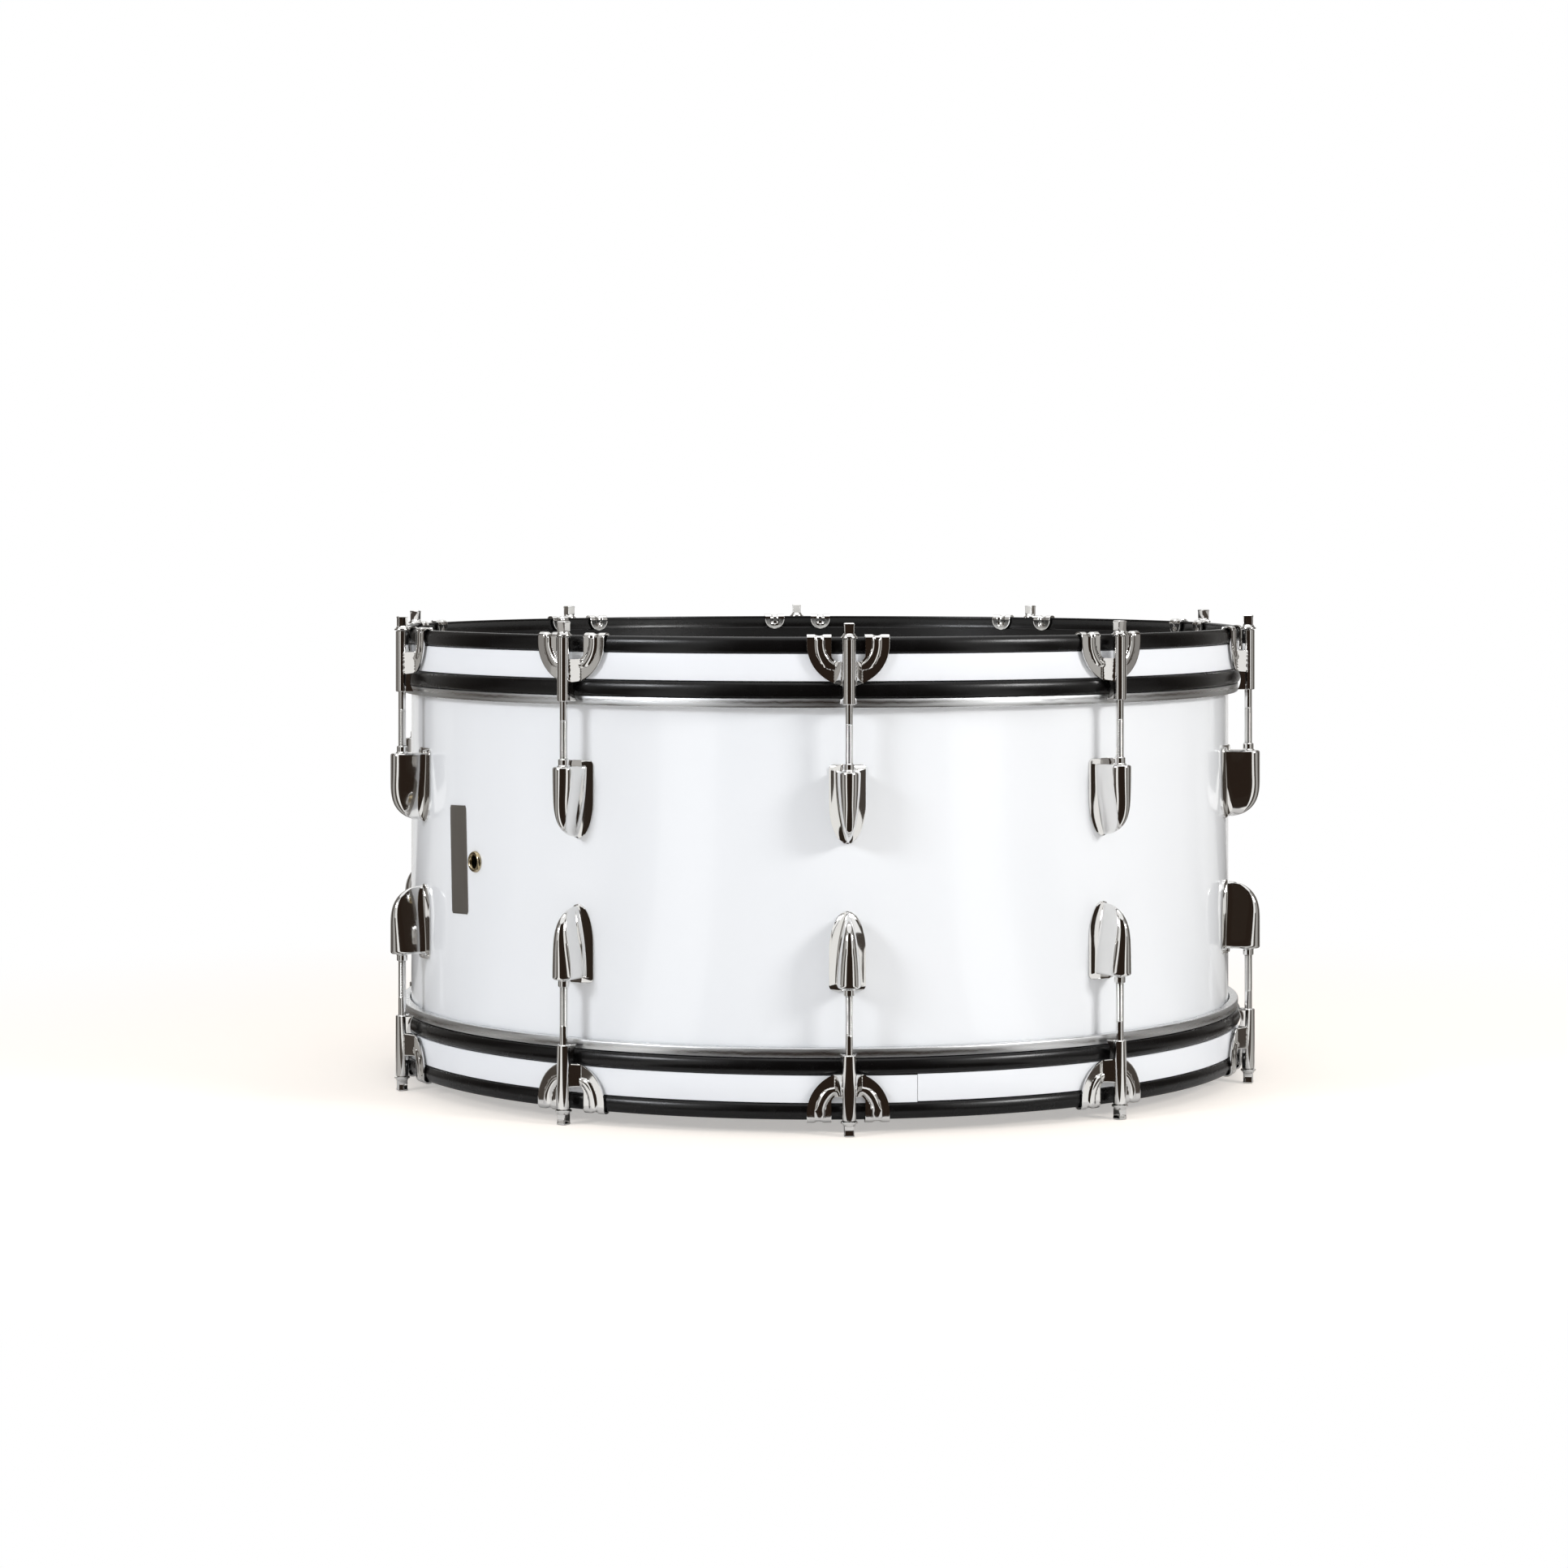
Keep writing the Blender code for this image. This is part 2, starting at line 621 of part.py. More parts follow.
def make_rod():
    """Model one tension rod in its station's frame, with z = 0 under its collar."""
    collar = ROD_COLLAR_HEIGHT
    rod_radius = ROD_DIAMETER / 2
    profile = [
        (0.0, collar),
        (ROD_COLLAR_TOP_DIAMETER / 2, collar),
        (ROD_COLLAR_DIAMETER / 2, 0.0),
        (rod_radius, 0.0),
        (rod_radius, -ROD_LENGTH),
        (0.0, -ROD_LENGTH),
    ]
    rod = turned("rod", profile, ROD_FACETS)
    head_mesh = bpy.data.meshes.new("rod_head")
    editor = bmesh.new()
    size = Matrix.Diagonal((ROD_HEAD_WIDTH, ROD_HEAD_WIDTH, ROD_HEAD_HEIGHT + collar / 2, 1.0))
    lift = Matrix.Translation((0, 0, collar + ROD_HEAD_HEIGHT / 2 - collar / 4))
    bmesh.ops.create_cube(editor, size=1.0, matrix=lift @ size)
    editor.to_mesh(head_mesh)
    editor.free()
    head = bpy.data.objects.new("rod_head", head_mesh)
    bpy.context.scene.collection.objects.link(head)
    combine(rod, head, "UNION")
    bpy.context.scene.collection.objects.link(rod)
    applied(rod)
    bpy.data.objects.remove(head, do_unlink=True)
    return rod


def vent_profile():
    """Give the eyelet's section along the drum's radius, from the bore's outer end round to itself."""
    seat = SHELL_RADIUS + CLEARANCE
    inside = facet_distance(SHELL_RADIUS - SHELL_WALL) - CLEARANCE
    bore = VENT_BORE_DIAMETER / 2
    barrel = VENT_BARREL_DIAMETER / 2
    flange = VENT_FLANGE_DIAMETER / 2
    return [
        (bore, seat + VENT_FLANGE_RISE),
        (barrel, seat + VENT_FLANGE_RISE),
        (flange, seat + VENT_RIM_THICKNESS),
        (flange, seat),
        (barrel, seat),
        (barrel, inside),
        (flange, inside),
        (flange, inside - VENT_RIM_THICKNESS),
        (bore, inside - VENT_RIM_THICKNESS),
    ]


def radial_matrix(angle):
    """Stand a frame's z axis along the drum's radius, at an angle from station 0."""
    turn = Matrix.Rotation(angle, 4, "Z") @ Matrix.Rotation(math.pi / 2, 4, "X")
    return Matrix.Translation((0, 0, MIDDLE_HEIGHT)) @ turn


def badge_outline():
    """Give the badge's outline, a strip with rounded corners."""
    x = BADGE_WIDTH / 2 - BADGE_CORNER
    y = BADGE_LENGTH / 2 - BADGE_CORNER
    corners = ((x, y, 0), (-x, y, 90), (-x, -y, 180), (x, -y, 270))
    outline = []
    for cx, cy, start in corners:
        outline += arc_points((cx, cy), (BADGE_CORNER, BADGE_CORNER), start, start + 90, 2)
    return outline


def make_shell(parts, guides, finish):
    """Make the shell with its twenty lugs and the hole of the vent."""
    shell = place(turned("shell", shell_profile(), RING_FACETS, closed=True), parts, finish)
    shell.location.z = MIDDLE_HEIGHT
    lug = make_lug()
    lugs = as_guide(place(make_lug_ring(lug), guides))
    bpy.data.objects.remove(lug, do_unlink=True)
    combine(shell, lugs, "UNION")
    hole_diameter = VENT_BARREL_DIAMETER + 2 * CLEARANCE / math.cos(math.pi / VENT_FACETS)
    start = SHELL_RADIUS - 2 * SHELL_WALL
    hole = cylinder("vent_hole", hole_diameter, start, SHELL_RADIUS + SHELL_WALL, VENT_FACETS)
    hole.matrix_world = radial_matrix(VENT_ANGLE)
    combine(shell, as_guide(place(hole, guides)), "DIFFERENCE")
    add_flat_cleanup(shell)


def make_ring_pieces(parts, finishes):
    """Make the head, the two hoops and the inlay of each end, the lower ones turned over."""
    rings = (
        ("head", film_profile(), False, FILM_THICKNESS, "white_film"),
        ("flesh_hoop", flesh_hoop_profile(), True, None, "bright_aluminium"),
        ("hoop", hoop_profile(), False, HOOP_SHEET, "black_enamel"),
        ("hoop_inlay", inlay_profile(), True, None, "white_plastic"),
    )
    for kind, profile, closed, wall, finish in rings:
        for end in ("top", "bottom"):
            ring = turned(f"{end}_{kind}", profile, RING_FACETS, closed)
            if wall is not None:
                add_wall(ring, wall)
            ring.location.z = MIDDLE_HEIGHT
            ring.rotation_euler.x = 0.0 if end == "top" else math.pi
            place(ring, parts, finishes[finish])


def make_stations(parts, finishes):
    """Make a claw and a rod for each station of each head."""
    claw = make_claw()
    rod = make_rod()
    for mesh in (claw.data, rod.data):
        mesh.materials.clear()
        mesh.materials.append(finishes["chrome_plate"])
    for upper, end in ((True, "top"), (False, "bottom")):
        for station in range(STATIONS):
            for kind, mesh, height in (("claw", claw.data, CLAW_SEAT), ("rod", rod.data, ROD_SEAT)):
                piece = bpy.data.objects.new(f"{end}_{kind}_{station + 1:02d}", mesh)
                piece.matrix_world = station_matrix(station, height, upper)
                parts.objects.link(piece)
    bpy.data.objects.remove(claw, do_unlink=True)
    bpy.data.objects.remove(rod, do_unlink=True)


def make_vent(parts, finish):
    """Make the vent's eyelet, through the shell's hole."""
    vent = turned("vent_grommet", vent_profile(), VENT_FACETS, closed=True)
    vent.matrix_world = radial_matrix(VENT_ANGLE) @ Matrix.Rotation(math.pi / VENT_FACETS, 4, "Z")
    place(vent, parts, finish)


def make_badge(parts, finish):
    """Make the bare badge plate on the shell, leaning a little."""
    lift = Matrix.Translation((0, 0, SHELL_RADIUS + CLEARANCE + BADGE_THICKNESS / 2))
    lean = Matrix.Rotation(BADGE_LEAN, 4, "Z")
    badge = extruded("badge_plate", [badge_outline()], BADGE_THICKNESS, lean)
    badge.matrix_world = radial_matrix(BADGE_ANGLE) @ lift
    place(badge, parts, finish)


def shade(parts):
    """Shade the round pieces smooth, with sharp edges where faces meet at over 30 degrees."""
    for obj in parts.objects:
        obj.data.shade_smooth()
        obj.data.set_sharp_from_angle(angle=math.radians(30))


def main():
    """Build the whole drum."""
    clear_scene()
    parts = make_collection("marching_bass_drum")
    guides = make_collection("guides")
    finishes = {name: make_finish(name) for name in FINISHES}
    make_shell(parts, guides, finishes["white_lacquer"])
    make_ring_pieces(parts, finishes)
    make_stations(parts, finishes)
    make_vent(parts, finishes["nickel_brass"])
    make_badge(parts, finishes["grey_badge"])
    shade(parts)


main()
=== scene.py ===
# %% [markdown]
# # A marching bass drum, dressed for its portrait
#
# The drum is a ply cylinder with a gloss white finish and two heads. At each head a black rolled hoop with a
# white inlay presses an aluminium flesh hoop down. Ten chrome claws pull each hoop, with ten key rods that
# screw into ten bullet-shaped lugs. The model of the construction comes first: it fixes where everything is.
# Sizes of the drum's pieces are in millimetres, from its axis and its middle height. Materials, the camera
# and the surroundings are in metres.

# %% Load the construction model
import math

import bmesh
import bpy
import numpy as np
from mathutils import Matrix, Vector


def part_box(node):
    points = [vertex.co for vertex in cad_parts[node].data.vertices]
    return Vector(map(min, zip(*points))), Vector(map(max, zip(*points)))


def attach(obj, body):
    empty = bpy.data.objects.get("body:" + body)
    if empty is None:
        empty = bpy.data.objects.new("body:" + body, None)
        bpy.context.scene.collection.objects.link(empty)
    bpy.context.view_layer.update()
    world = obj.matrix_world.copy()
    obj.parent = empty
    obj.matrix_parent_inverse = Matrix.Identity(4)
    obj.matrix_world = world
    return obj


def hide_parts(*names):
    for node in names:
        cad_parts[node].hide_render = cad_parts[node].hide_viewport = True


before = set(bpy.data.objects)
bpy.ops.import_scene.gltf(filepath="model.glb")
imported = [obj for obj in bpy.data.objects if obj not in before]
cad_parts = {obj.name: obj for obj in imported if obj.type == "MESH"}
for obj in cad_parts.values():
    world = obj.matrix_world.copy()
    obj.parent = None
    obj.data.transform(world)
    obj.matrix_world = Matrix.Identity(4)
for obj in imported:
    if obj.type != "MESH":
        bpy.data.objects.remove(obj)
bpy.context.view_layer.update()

MM = 0.001
shell_low, shell_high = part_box("shell")
MIDDLE = (shell_low[2] + shell_high[2]) / 2
STATIONS = 10

# %% [markdown]
# ## Camera
#
# The photograph was taken with a level camera a little above the drum's rim. A level camera keeps the rods
# upright, and the lens shift frames the drum below the horizon, as cropping a larger picture would.

# %% Camera
LENS = 85.0
SENSOR = 36.0
CAMERA_DISTANCE = 2.5475
CAMERA_HEIGHT = 0.3677
CAMERA_TURN = math.radians(-3.46)
IMAGE_SIDE = 1932
DRUM_COLUMN = 1010.1
HORIZON_ROW = 656.0

camera_data = bpy.data.cameras.new("camera")
camera_data.lens = LENS
camera_data.sensor_width = SENSOR
camera_data.shift_x = 0.5 - DRUM_COLUMN / IMAGE_SIDE
camera_data.shift_y = HORIZON_ROW / IMAGE_SIDE - 0.5
camera = bpy.data.objects.new("camera", camera_data)
camera.location = (
    CAMERA_DISTANCE * math.sin(CAMERA_TURN), -CAMERA_DISTANCE * math.cos(CAMERA_TURN), CAMERA_HEIGHT,
)
camera.rotation_euler = (math.pi / 2, 0.0, CAMERA_TURN)
bpy.context.scene.collection.objects.link(camera)
bpy.context.scene.camera = camera

# %% [markdown]
# ## Materials
#
# A material is a small graph of nodes. One function adds a node with its settings and links, and one turns
# the hex colours that painters and web pages use, which are sRGB, into the linear values that light adds in.

# %% Node and colour helpers


def linear(hex_colour):
    """Turn an sRGB hex colour into linear red, green, blue and alpha."""
    values = np.array([int(hex_colour[i:i + 2], 16) for i in (1, 3, 5)]) / 255
    low = values / 12.92
    high = ((values + 0.055) / 1.055) ** 2.4
    return (*np.where(values <= 0.04045, low, high).tolist(), 1.0)


def add_node(tree, kind, settings=None, values=None, links=None):
    """Add a node, set its properties and its socket values, and link its inputs from other sockets."""
    node = tree.nodes.new(kind)
    for key, value in (settings or {}).items():
        setattr(node, key, value)
    for key, value in (values or {}).items():
        node.inputs[key].default_value = value
    for key, socket in (links or {}).items():
        tree.links.new(socket, node.inputs[key])
    return node


def new_material(name, **values):
    """Make a material and return it with its tree, its shader and its Object coordinates."""
    material = bpy.data.materials.new(name)
    material.use_nodes = True
    tree = material.node_tree
    shader = tree.nodes["Principled BSDF"]
    for key, value in values.items():
        shader.inputs[key.replace("_", " ")].default_value = value
    place = add_node(tree, "ShaderNodeTexCoord").outputs["Object"]
    return material, tree, shader, place


def add_bump(tree, shader, height, distance, strength=1.0):
    """Let a height pattern, in metres of relief, tilt the surface."""
    bump = add_node(tree, "ShaderNodeBump", values={"Strength": strength, "Distance": distance},
                    links={"Height": height})
    tree.links.new(bump.outputs["Normal"], shader.inputs["Normal"])


def add_range(tree, factor, low, high):
    """Spread a pattern's 0 to 1 between two values."""
    spread = add_node(tree, "ShaderNodeMapRange", values={"To Min": low, "To Max": high},
                      links={"Value": factor})
    return spread.outputs["Result"]


def add_tint(tree, factor, first, second):
    """Blend two hex colours by a pattern."""
    mix = add_node(tree, "ShaderNodeMix", settings={"data_type": "RGBA"})
    mix.inputs["A"].default_value = linear(first)
    mix.inputs["B"].default_value = linear(second)
    tree.links.new(factor, mix.inputs["Factor"])
    return mix.outputs["Result"]


# %% [markdown]
# Gloss lacquer on a ply shell is a hard clear skin over a white ground. It shows sharp reflections with a
# faint waviness a few centimetres long, and the white is a little cool.

# %% White lacquer
WAVINESS = 0.030
lacquer, tree, shader, place = new_material(
    "white_lacquer", Roughness=0.16, Coat_Weight=0.5, Coat_Roughness=0.03,
)
waves = add_node(tree, "ShaderNodeTexNoise", values={"Scale": 1 / WAVINESS, "Detail": 2.0},
                 links={"Vector": place})
haze = add_node(tree, "ShaderNodeTexNoise", values={"Scale": 9.0, "Detail": 3.0}, links={"Vector": place})
tree.links.new(add_tint(tree, haze.outputs["Fac"], "#F7F9FB", "#FBFCFD"), shader.inputs["Base Color"])
add_bump(tree, shader, waves.outputs["Fac"], 0.00005)

# %% [markdown]
# The hoops are steel with baked black enamel: nearly black, glossy, with fine dust and rub marks that make
# some places duller than others.

# %% Black enamel
RUB_LENGTH = 0.012
enamel, tree, shader, place = new_material("black_enamel", Base_Color=linear("#090808"), IOR=1.4)
rubs = add_node(tree, "ShaderNodeTexNoise", values={"Scale": 1 / RUB_LENGTH, "Detail": 5.0},
                links={"Vector": place})
tree.links.new(add_range(tree, rubs.outputs["Fac"], 0.18, 0.34), shader.inputs["Roughness"])
add_bump(tree, shader, rubs.outputs["Fac"], 0.00003)

# %% [markdown]
# Chrome plate is a mirror with a slightly warm tint here. Polishing before plating leaves a very gentle
# unevenness, and handling leaves faint duller patches.

# %% Chrome plate
chrome, tree, shader, place = new_material("chrome_plate", Base_Color=linear("#E9E8E6"), Metallic=1.0)
polish = add_node(tree, "ShaderNodeTexNoise", values={"Scale": 140.0, "Detail": 2.0}, links={"Vector": place})
handling = add_node(tree, "ShaderNodeTexNoise", values={"Scale": 60.0, "Detail": 4.0},
                    links={"Vector": place})
tree.links.new(add_range(tree, handling.outputs["Fac"], 0.02, 0.09), shader.inputs["Roughness"])
add_bump(tree, shader, polish.outputs["Fac"], 0.000012)

# %% [markdown]
# The flesh hoop is a bent aluminium channel. Drawing the channel leaves fine lines along it, so the lines
# run round the drum: a wave across the height gives them. Real lines are about 0.05 mm apart, too fine to
# show here, so they are drawn 0.6 mm apart.

# %% Drawn aluminium
LINE_SPACING = 0.0006
aluminium, tree, shader, place = new_material("drawn_aluminium", Base_Color=linear("#DADBDC"), Metallic=1.0)
lines = add_node(tree, "ShaderNodeTexWave", settings={"bands_direction": "Z"},
                 values={"Scale": 1 / LINE_SPACING / 20, "Distortion": 1.5, "Detail": 2.0},
                 links={"Vector": place})
tree.links.new(add_range(tree, lines.outputs["Fac"], 0.26, 0.42), shader.inputs["Roughness"])
add_bump(tree, shader, lines.outputs["Fac"], 0.00003)

# %% [markdown]
# The inlay is white polystyrene strip, the heads are coated polyester film, the eyelet is nickel on brass
# and the badge is a dark grey metal foil with a brushed face. Each has its own small pattern.

# %% Plastic, film, nickel and foil
inlay_plastic, tree, shader, place = new_material("polystyrene_strip", Roughness=0.28)
cloud = add_node(tree, "ShaderNodeTexNoise", values={"Scale": 25.0, "Detail": 3.0}, links={"Vector": place})
tree.links.new(add_tint(tree, cloud.outputs["Fac"], "#F5F7FA", "#FAFBFD"), shader.inputs["Base Color"])
add_bump(tree, shader, cloud.outputs["Fac"], 0.00004)

film, tree, shader, place = new_material("coated_polyester_film", Roughness=0.42)
grain = add_node(tree, "ShaderNodeTexNoise", values={"Scale": 900.0, "Detail": 3.0}, links={"Vector": place})
cloud = add_node(tree, "ShaderNodeTexNoise", values={"Scale": 7.0, "Detail": 3.0}, links={"Vector": place})
tree.links.new(add_tint(tree, cloud.outputs["Fac"], "#ECEBE7", "#F2F1EE"), shader.inputs["Base Color"])
add_bump(tree, shader, grain.outputs["Fac"], 0.00003)

nickel, tree, shader, place = new_material("nickel_on_brass", Metallic=1.0)
wear = add_node(tree, "ShaderNodeTexNoise", values={"Scale": 300.0, "Detail": 4.0}, links={"Vector": place})
tree.links.new(add_tint(tree, wear.outputs["Fac"], "#C9BFA8", "#B59F74"), shader.inputs["Base Color"])
tree.links.new(add_range(tree, wear.outputs["Fac"], 0.12, 0.30), shader.inputs["Roughness"])

foil, tree, shader, place = new_material("brushed_grey_foil", Metallic=0.75)
stretch = add_node(tree, "ShaderNodeMapping", values={"Scale": (900.0, 900.0, 25.0)}, links={"Vector": place})
brushing = add_node(tree, "ShaderNodeTexNoise", values={"Scale": 1.0, "Detail": 3.0},
                    links={"Vector": stretch.outputs["Vector"]})
tree.links.new(add_tint(tree, brushing.outputs["Fac"], "#817C76", "#938E87"), shader.inputs["Base Color"])
tree.links.new(add_range(tree, brushing.outputs["Fac"], 0.32, 0.50), shader.inputs["Roughness"])
add_bump(tree, shader, brushing.outputs["Fac"], 0.00002)
print(len(bpy.data.materials), "materials")

# %% [markdown]
# ## Surfaces from arrays
#
# Every piece below is a grid of points worked out with numpy: rows along one parameter, columns along the
# other. Neighbouring points make four-sided faces. A turned ring wraps both ways, a lofted body wraps once
# and is closed by a cap at each end.

# %% Mesh helpers


def grid_mesh(name, points, wrap_rows=False, wrap_columns=False, caps=False):
    """Make a mesh from a rows by columns grid of points in mm: a quad joins each four neighbours."""
    rows, columns = points.shape[:2]
    index = np.arange(rows * columns).reshape(rows, columns)
    ends = (index[0].tolist(), index[-1].tolist())
    if wrap_rows:
        index = np.vstack([index, index[:1]])
    if wrap_columns:
        index = np.hstack([index, index[:, :1]])
    quads = np.stack([index[:-1, :-1], index[:-1, 1:], index[1:, 1:], index[1:, :-1]], axis=-1)
    faces = quads.reshape(-1, 4).tolist()
    if caps:
        faces += ends
    mesh = bpy.data.meshes.new(name)
    mesh.from_pydata((points.reshape(-1, 3) * MM).tolist(), [], faces)
    return mesh


def cleaned(mesh, merge=1e-6):
    """Merge doubled points, drop what has no area and turn the faces outwards."""
    editor = bmesh.new()
    editor.from_mesh(mesh)
    bmesh.ops.remove_doubles(editor, verts=editor.verts, dist=merge)
    bmesh.ops.dissolve_degenerate(editor, edges=editor.edges, dist=merge)
    bmesh.ops.recalc_face_normals(editor, faces=editor.faces)
    editor.to_mesh(mesh)
    editor.free()
    return mesh


def joined(name, meshes):
    """Put several meshes in one."""
    editor = bmesh.new()
    for mesh in meshes:
        editor.from_mesh(mesh)
    whole = bpy.data.meshes.new(name)
    editor.to_mesh(whole)
    editor.free()
    return whole


def around(profile, steps, centre_radius=0.0):
    """Turn (radius, height) points about an upright axis that stands at a distance in front of the drum's."""
    angles = np.arange(steps) * 2 * np.pi / steps
    radius = profile[None, :, 0]
    x = radius * np.sin(angles)[:, None]
    y = -radius * np.cos(angles)[:, None] - centre_radius
    z = np.broadcast_to(profile[None, :, 1], x.shape)
    return np.stack([x, y, z], axis=-1)


def arc(centre, radii, start, end, steps):
    """Points of an elliptical arc, both ends included, with angles in degrees."""
    angles = np.radians(np.linspace(start, end, steps))
    return np.column_stack([centre[0] + radii[0] * np.cos(angles), centre[1] + radii[1] * np.sin(angles)])


def at_station(mesh, station, upper):
    """Copy a mesh made for the front of the upper head to a station of either head."""
    turn = Matrix.Rotation(station * 2 * math.pi / STATIONS, 4, "Z")
    over = Matrix.Identity(4) if upper else Matrix.Rotation(math.pi, 4, "Y")
    copy = mesh.copy()
    copy.transform(Matrix.Translation((0, 0, MIDDLE)) @ turn @ over)
    return copy


def add_piece(name, mesh, material, body, node=None, sharp=35.0):
    """Show a mesh as a piece that rides on a body, takes the given material and may replace a node."""
    mesh.materials.clear()
    mesh.materials.append(material)
    mesh.shade_smooth()
    mesh.set_sharp_from_angle(angle=math.radians(sharp))
    piece = bpy.data.objects.new(name, mesh)
    bpy.context.scene.collection.objects.link(piece)
    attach(piece, body)
    if node:
        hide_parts(node)
    return piece


def at_ends(kind, mesh, material, sharp=35.0):
    """Show a ring at the upper head, and turned over at the lower head."""
    for end in ("top", "bottom"):
        add_piece(f"{end}_{kind}_fine", at_station(mesh, 0, end == "top"), material, "drum",
                  f"{end}_{kind}", sharp)


# %% [markdown]
# ## Shell
#
# A ply cylinder, 22 by 10 inches. Its ends are cut to a bearing edge: rounded over on the outside, sloped to
# the inside. The vent's hole goes through the wall, so that the eyelet shows the dark inside.

# %% Shell
SHELL_RADIUS = 279.4
SHELL_INNER = 271.9
SHELL_TOP = 127.0
EDGE_ROUND = 1.6
EDGE_SLOPE = 5.5
RING_STEPS = 360
VENT_ANGLE = math.radians(-55.7)
VENT_HOLE = 5.3

end_round = arc((SHELL_RADIUS - EDGE_ROUND, SHELL_TOP - EDGE_ROUND), (EDGE_ROUND, EDGE_ROUND), 0, 90, 6)
upper_half = np.vstack([end_round, [[SHELL_INNER, SHELL_TOP - EDGE_SLOPE]]])
lower_half = upper_half[::-1] * [1, -1]
heights = np.linspace(-SHELL_TOP + EDGE_ROUND, SHELL_TOP - EDGE_ROUND, 13)[1:-1]
outer_wall = np.column_stack([np.full(len(heights), SHELL_RADIUS), heights])
shell_points = around(np.vstack([outer_wall, upper_half, lower_half]), RING_STEPS)
shell_mesh = cleaned(grid_mesh("shell_fine", shell_points, wrap_rows=True, wrap_columns=True))


def cut_hole(mesh, radius, angle):
    """Cut a round hole through a mesh along the drum's radius, at its middle height."""
    target = bpy.data.objects.new("target", mesh)
    drill_mesh = bpy.data.meshes.new("drill")
    editor = bmesh.new()
    bmesh.ops.create_cone(editor, cap_ends=True, segments=48, radius1=radius * MM, radius2=radius * MM,
                          depth=0.04)
    editor.to_mesh(drill_mesh)
    editor.free()
    drill_mesh.transform(Matrix.Translation((0, 0, (SHELL_RADIUS - 4) * MM)))
    drill_mesh.transform(Matrix.Rotation(angle, 4, "Z") @ Matrix.Rotation(math.pi / 2, 4, "X"))
    drill = bpy.data.objects.new("drill", drill_mesh)
    for piece in (target, drill):
        bpy.context.scene.collection.objects.link(piece)
    cut = target.modifiers.new("hole", "BOOLEAN")
    cut.operation = "DIFFERENCE"
    cut.object = drill
    graph = bpy.context.evaluated_depsgraph_get()
    result = bpy.data.meshes.new_from_object(target.evaluated_get(graph))
    for piece in (target, drill):
        bpy.data.objects.remove(piece, do_unlink=True)
    return result


shell_mesh = cut_hole(shell_mesh, VENT_HOLE, VENT_ANGLE)
add_piece("shell_fine", at_station(shell_mesh, 0, True), lacquer, "drum", "shell")
print("shell", len(shell_mesh.polygons), "faces")

# %% [markdown]
# ## Heads and flesh hoops
#
# The film lies flat over the bearing edge and turns down into the aluminium channel that holds its edge.
# The channel shows as a bright line under each black hoop.

# %% Heads and flesh hoops
HOOP_EDGE = 147.5
HOOP_HEIGHT = 37.5
HOOP_SEAT = HOOP_EDGE - HOOP_HEIGHT
FLESH_INNER = 280.3
FLESH_OUTER = 286.0
FLESH_HEIGHT = 5.9
FLESH_LIP = 0.6
FLESH_GROOVE = 2.2
FILM = 0.3
GAP = 0.3

film_top = SHELL_TOP + GAP + FILM
bend = arc((SHELL_RADIUS - EDGE_ROUND, film_top - EDGE_ROUND - FILM), (EDGE_ROUND + GAP + FILM,) * 2,
           90, 8, 7)
groove_middle = FLESH_INNER + FLESH_LIP + FLESH_GROOVE / 2
path = np.vstack([[[0.01, film_top]], bend, [[groove_middle, HOOP_SEAT - 3.0]]])
inside = path - [FILM, FILM]
inside[0, 0] = path[0, 0]
head_points = around(np.vstack([path, inside[::-1]]), RING_STEPS)
head_mesh = cleaned(grid_mesh("head", head_points, wrap_rows=True, wrap_columns=True))
at_ends("head", head_mesh, film)

flesh_top = HOOP_SEAT - GAP
flesh_bottom = flesh_top - FLESH_HEIGHT
corner = 1.1
outer_face = np.vstack([
    arc((FLESH_OUTER - corner, flesh_bottom + corner), (corner, corner), -90, 0, 6),
    arc((FLESH_OUTER - 0.4, flesh_top - 0.4), (0.4, 0.4), 0, 90, 3),
])
wall = FLESH_INNER + FLESH_LIP + FLESH_GROOVE
inner_face = np.array([
    [wall, flesh_top], [wall, flesh_bottom + 1.2], [FLESH_INNER + FLESH_LIP, flesh_bottom + 1.2],
    [FLESH_INNER + FLESH_LIP, flesh_top], [FLESH_INNER, flesh_top], [FLESH_INNER, flesh_bottom],
])
flesh_points = around(np.vstack([outer_face, inner_face]), RING_STEPS)
flesh_mesh = cleaned(grid_mesh("flesh_hoop", flesh_points, wrap_rows=True, wrap_columns=True))
at_ends("flesh_hoop", flesh_mesh, aluminium)

# %% [markdown]
# ## Tension hoops and inlays
#
# The hoop is rolled from one strip of steel: each edge swells out into a half-round bead, and the plain band
# between the beads takes the white inlay. From the inside the beads show as shallow grooves.

# %% Tension hoops and inlays
HOOP_WALL = 285.1
HOOP_SHEET = 1.5
BEAD_RISE = 2.7
BEAD_HALF = 5.05
GROOVE_RISE = 1.0
GROOVE_HALF = 3.9
INLAY_THICKNESS = 1.0
JOINT_ANGLE = math.radians(8.6)

outer = []
inner = []
for middle in (HOOP_EDGE - BEAD_HALF, HOOP_SEAT + BEAD_HALF):
    outer.append(arc((HOOP_WALL, middle), (BEAD_RISE, BEAD_HALF), 90, -90, 17))
    inner.append(arc((HOOP_WALL - HOOP_SHEET, middle), (GROOVE_RISE, GROOVE_HALF), 90, -90, 11))
inner_edges = np.array([[HOOP_WALL - HOOP_SHEET, HOOP_EDGE - 0.4], [HOOP_WALL - HOOP_SHEET, HOOP_SEAT + 0.4]])
inner_wall = np.vstack([inner_edges[:1], inner[0], inner[1], inner_edges[1:]])
rim = np.array([[HOOP_WALL - HOOP_SHEET + 0.4, HOOP_EDGE]])
foot = np.array([[HOOP_WALL - HOOP_SHEET + 0.4, HOOP_SEAT]])
